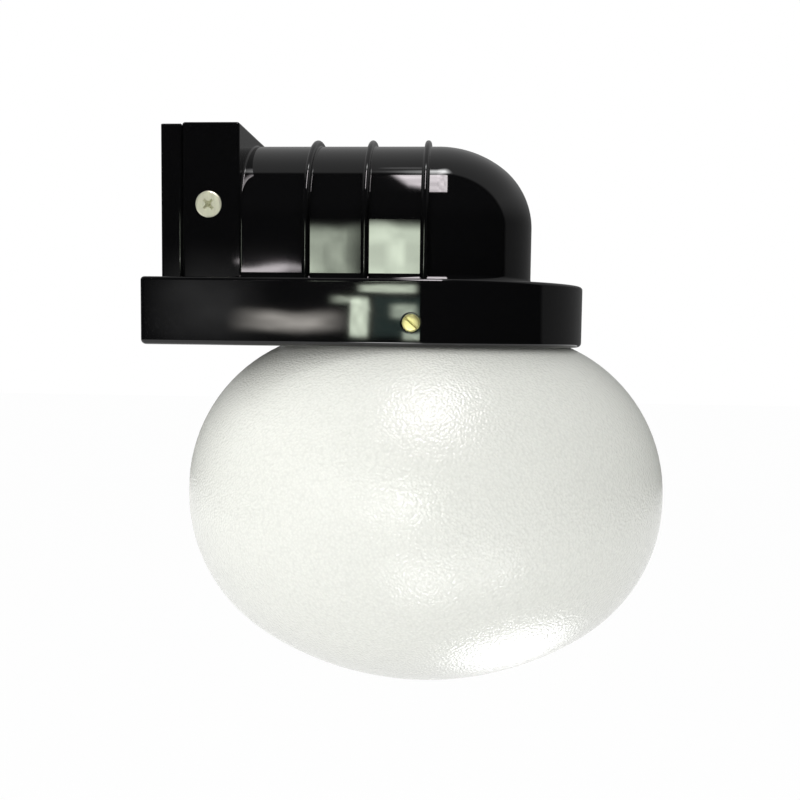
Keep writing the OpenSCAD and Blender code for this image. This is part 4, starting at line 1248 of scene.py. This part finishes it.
def card_material(name, strength, tone, edge):
    """An uneven glow with soft edges and a narrow beam, on a see-through card."""
    material, tree, _ = new_material(name)
    place = add_node(tree, "ShaderNodeTexCoord").outputs["UV"]
    axes = add_node(tree, "ShaderNodeSeparateXYZ", Vector=place).outputs
    facing = add_node(tree, "ShaderNodeLayerWeight", Blend=0.5).outputs["Facing"]
    shares = [spread(tree, noise(tree, 3.5, 4.0, place=place), 0.3, 1.7),
              ease(tree, facing, 0.14, 0.05)]
    for axis in ("X", "Y"):
        off_centre = calculate(tree, "ABSOLUTE", calculate(tree, "SUBTRACT", axes[axis], 0.5))
        shares.append(ease(tree, off_centre, 0.5, 0.5 - edge))
    level = strength
    for share in shares:
        level = calculate(tree, "MULTIPLY", share, level)
    glow = add_node(tree, "ShaderNodeEmission", Color=(*tone, 1.0), Strength=level)
    both = add_node(tree, "ShaderNodeAddShader")
    clear = add_node(tree, "ShaderNodeBsdfTransparent")
    feed_in_order(tree, both, glow.outputs[0], clear.outputs[0])
    shine(tree, both)
    return material


def glow_card(name, place, target, extent, strength, tone, edge):
    """A card that shows as a highlight in gloss and glass."""
    MATERIALS[name] = card_material(name, strength, tone, edge)
    signs = ((-0.5, -0.5), (0.5, -0.5), (0.5, 0.5), (-0.5, 0.5))
    corners = [(x * extent[0], y * extent[1], 0) for x, y in signs]
    card = make_piece(name, corners, [(0, 1, 2, 3)], name)
    layer = card.data.uv_layers.new(name="UVMap")
    for corner in card.data.loops:
        spot = card.data.vertices[corner.vertex_index].co / MM
        layer.data[corner.index].uv = (spot.x / extent[0] + 0.5, spot.y / extent[1] + 0.5)
    aim(card, place, target)
    only_mirrored(card)


class WALLLIGHT_OT_stage(bpy.types.Operator):
    """Builds the floor, the lamps, the surround and the camera"""

    bl_idname = "walllight.stage"
    bl_label = "Studio"

    def execute(self, context):
        studio = context.scene.walllight_studio
        build_world()
        build_floor(studio.floor_z)
        dark_flag()
        for card in CARDS:
            glow_card(*card)
        for name, place, (length, width), power in LAMPS:
            add_lamp(name, "AREA", place, MIDDLE, power, shape="RECTANGLE", size=length * MM,
                     size_y=width * MM)
        add_lamp("shoulder", "SPOT", (-420, -560, -10), (36, -44, -38), 7.5,
                 spot_size=math.radians(10), spot_blend=1.0, shadow_soft_size=40 * MM)
        self.place_camera(context, studio)
        context.scene.view_settings.view_transform = "Standard"
        return {"FINISHED"}

    def place_camera(self, context, studio):
        """Sets the camera at the fitted place, angle and focal length."""
        data = bpy.data.cameras.new("camera")
        data.lens = studio.lens
        data.sensor_width = 36.0
        data.clip_start, data.clip_end = 0.01, 20.0
        camera = bpy.data.objects.new("camera", data)
        place = Vector((studio.camera_x, studio.camera_y, studio.camera_z)) * MM
        level = Matrix.Rotation(math.pi / 2 + studio.pitch, 4, "X")
        turned = Matrix.Rotation(studio.yaw, 4, "Z") @ level @ Matrix.Rotation(studio.roll, 4, "Z")
        camera.matrix_world = Matrix.Translation(place) @ turned
        context.scene.collection.objects.link(camera)
        context.scene.camera = camera


class WALLLIGHT_PT_panel(bpy.types.Panel):
    """Lists the builders in the sidebar"""

    bl_idname = "WALLLIGHT_PT_panel"
    bl_label = "Wall light"
    bl_space_type = "VIEW_3D"
    bl_region_type = "UI"
    bl_category = "Wall light"

    def draw(self, context):
        for builder in BUILDERS:
            self.layout.operator(builder.bl_idname)


SETTINGS = {
    "walllight_housing": HousingSettings,
    "walllight_globe": GlobeSettings,
    "walllight_screws": ScrewSettings,
    "walllight_holder": HolderSettings,
    "walllight_finish": FinishSettings,
    "walllight_studio": StudioSettings,
}
BUILDERS = [
    WALLLIGHT_OT_finishes,
    WALLLIGHT_OT_housing,
    WALLLIGHT_OT_globe,
    WALLLIGHT_OT_screws,
    WALLLIGHT_OT_holder,
    WALLLIGHT_OT_lamp,
    WALLLIGHT_OT_wires,
    WALLLIGHT_OT_stage,
]


def register():
    """Registers the settings, builders and panel."""
    for name, group in SETTINGS.items():
        bpy.utils.register_class(group)
        setattr(bpy.types.Scene, name, PointerProperty(type=group))
    for item in [*BUILDERS, WALLLIGHT_PT_panel]:
        bpy.utils.register_class(item)


def unregister():
    """Takes the settings, builders and panel away again."""
    for item in reversed([*BUILDERS, WALLLIGHT_PT_panel]):
        bpy.utils.unregister_class(item)
    for name, group in SETTINGS.items():
        delattr(bpy.types.Scene, name)
        bpy.utils.unregister_class(group)


def main():
    """Runs every builder in order."""
    register()
    for builder in BUILDERS:
        group, name = builder.bl_idname.split(".")
        getattr(getattr(bpy.ops, group), name)()


if __name__ == "__main__":
    main()
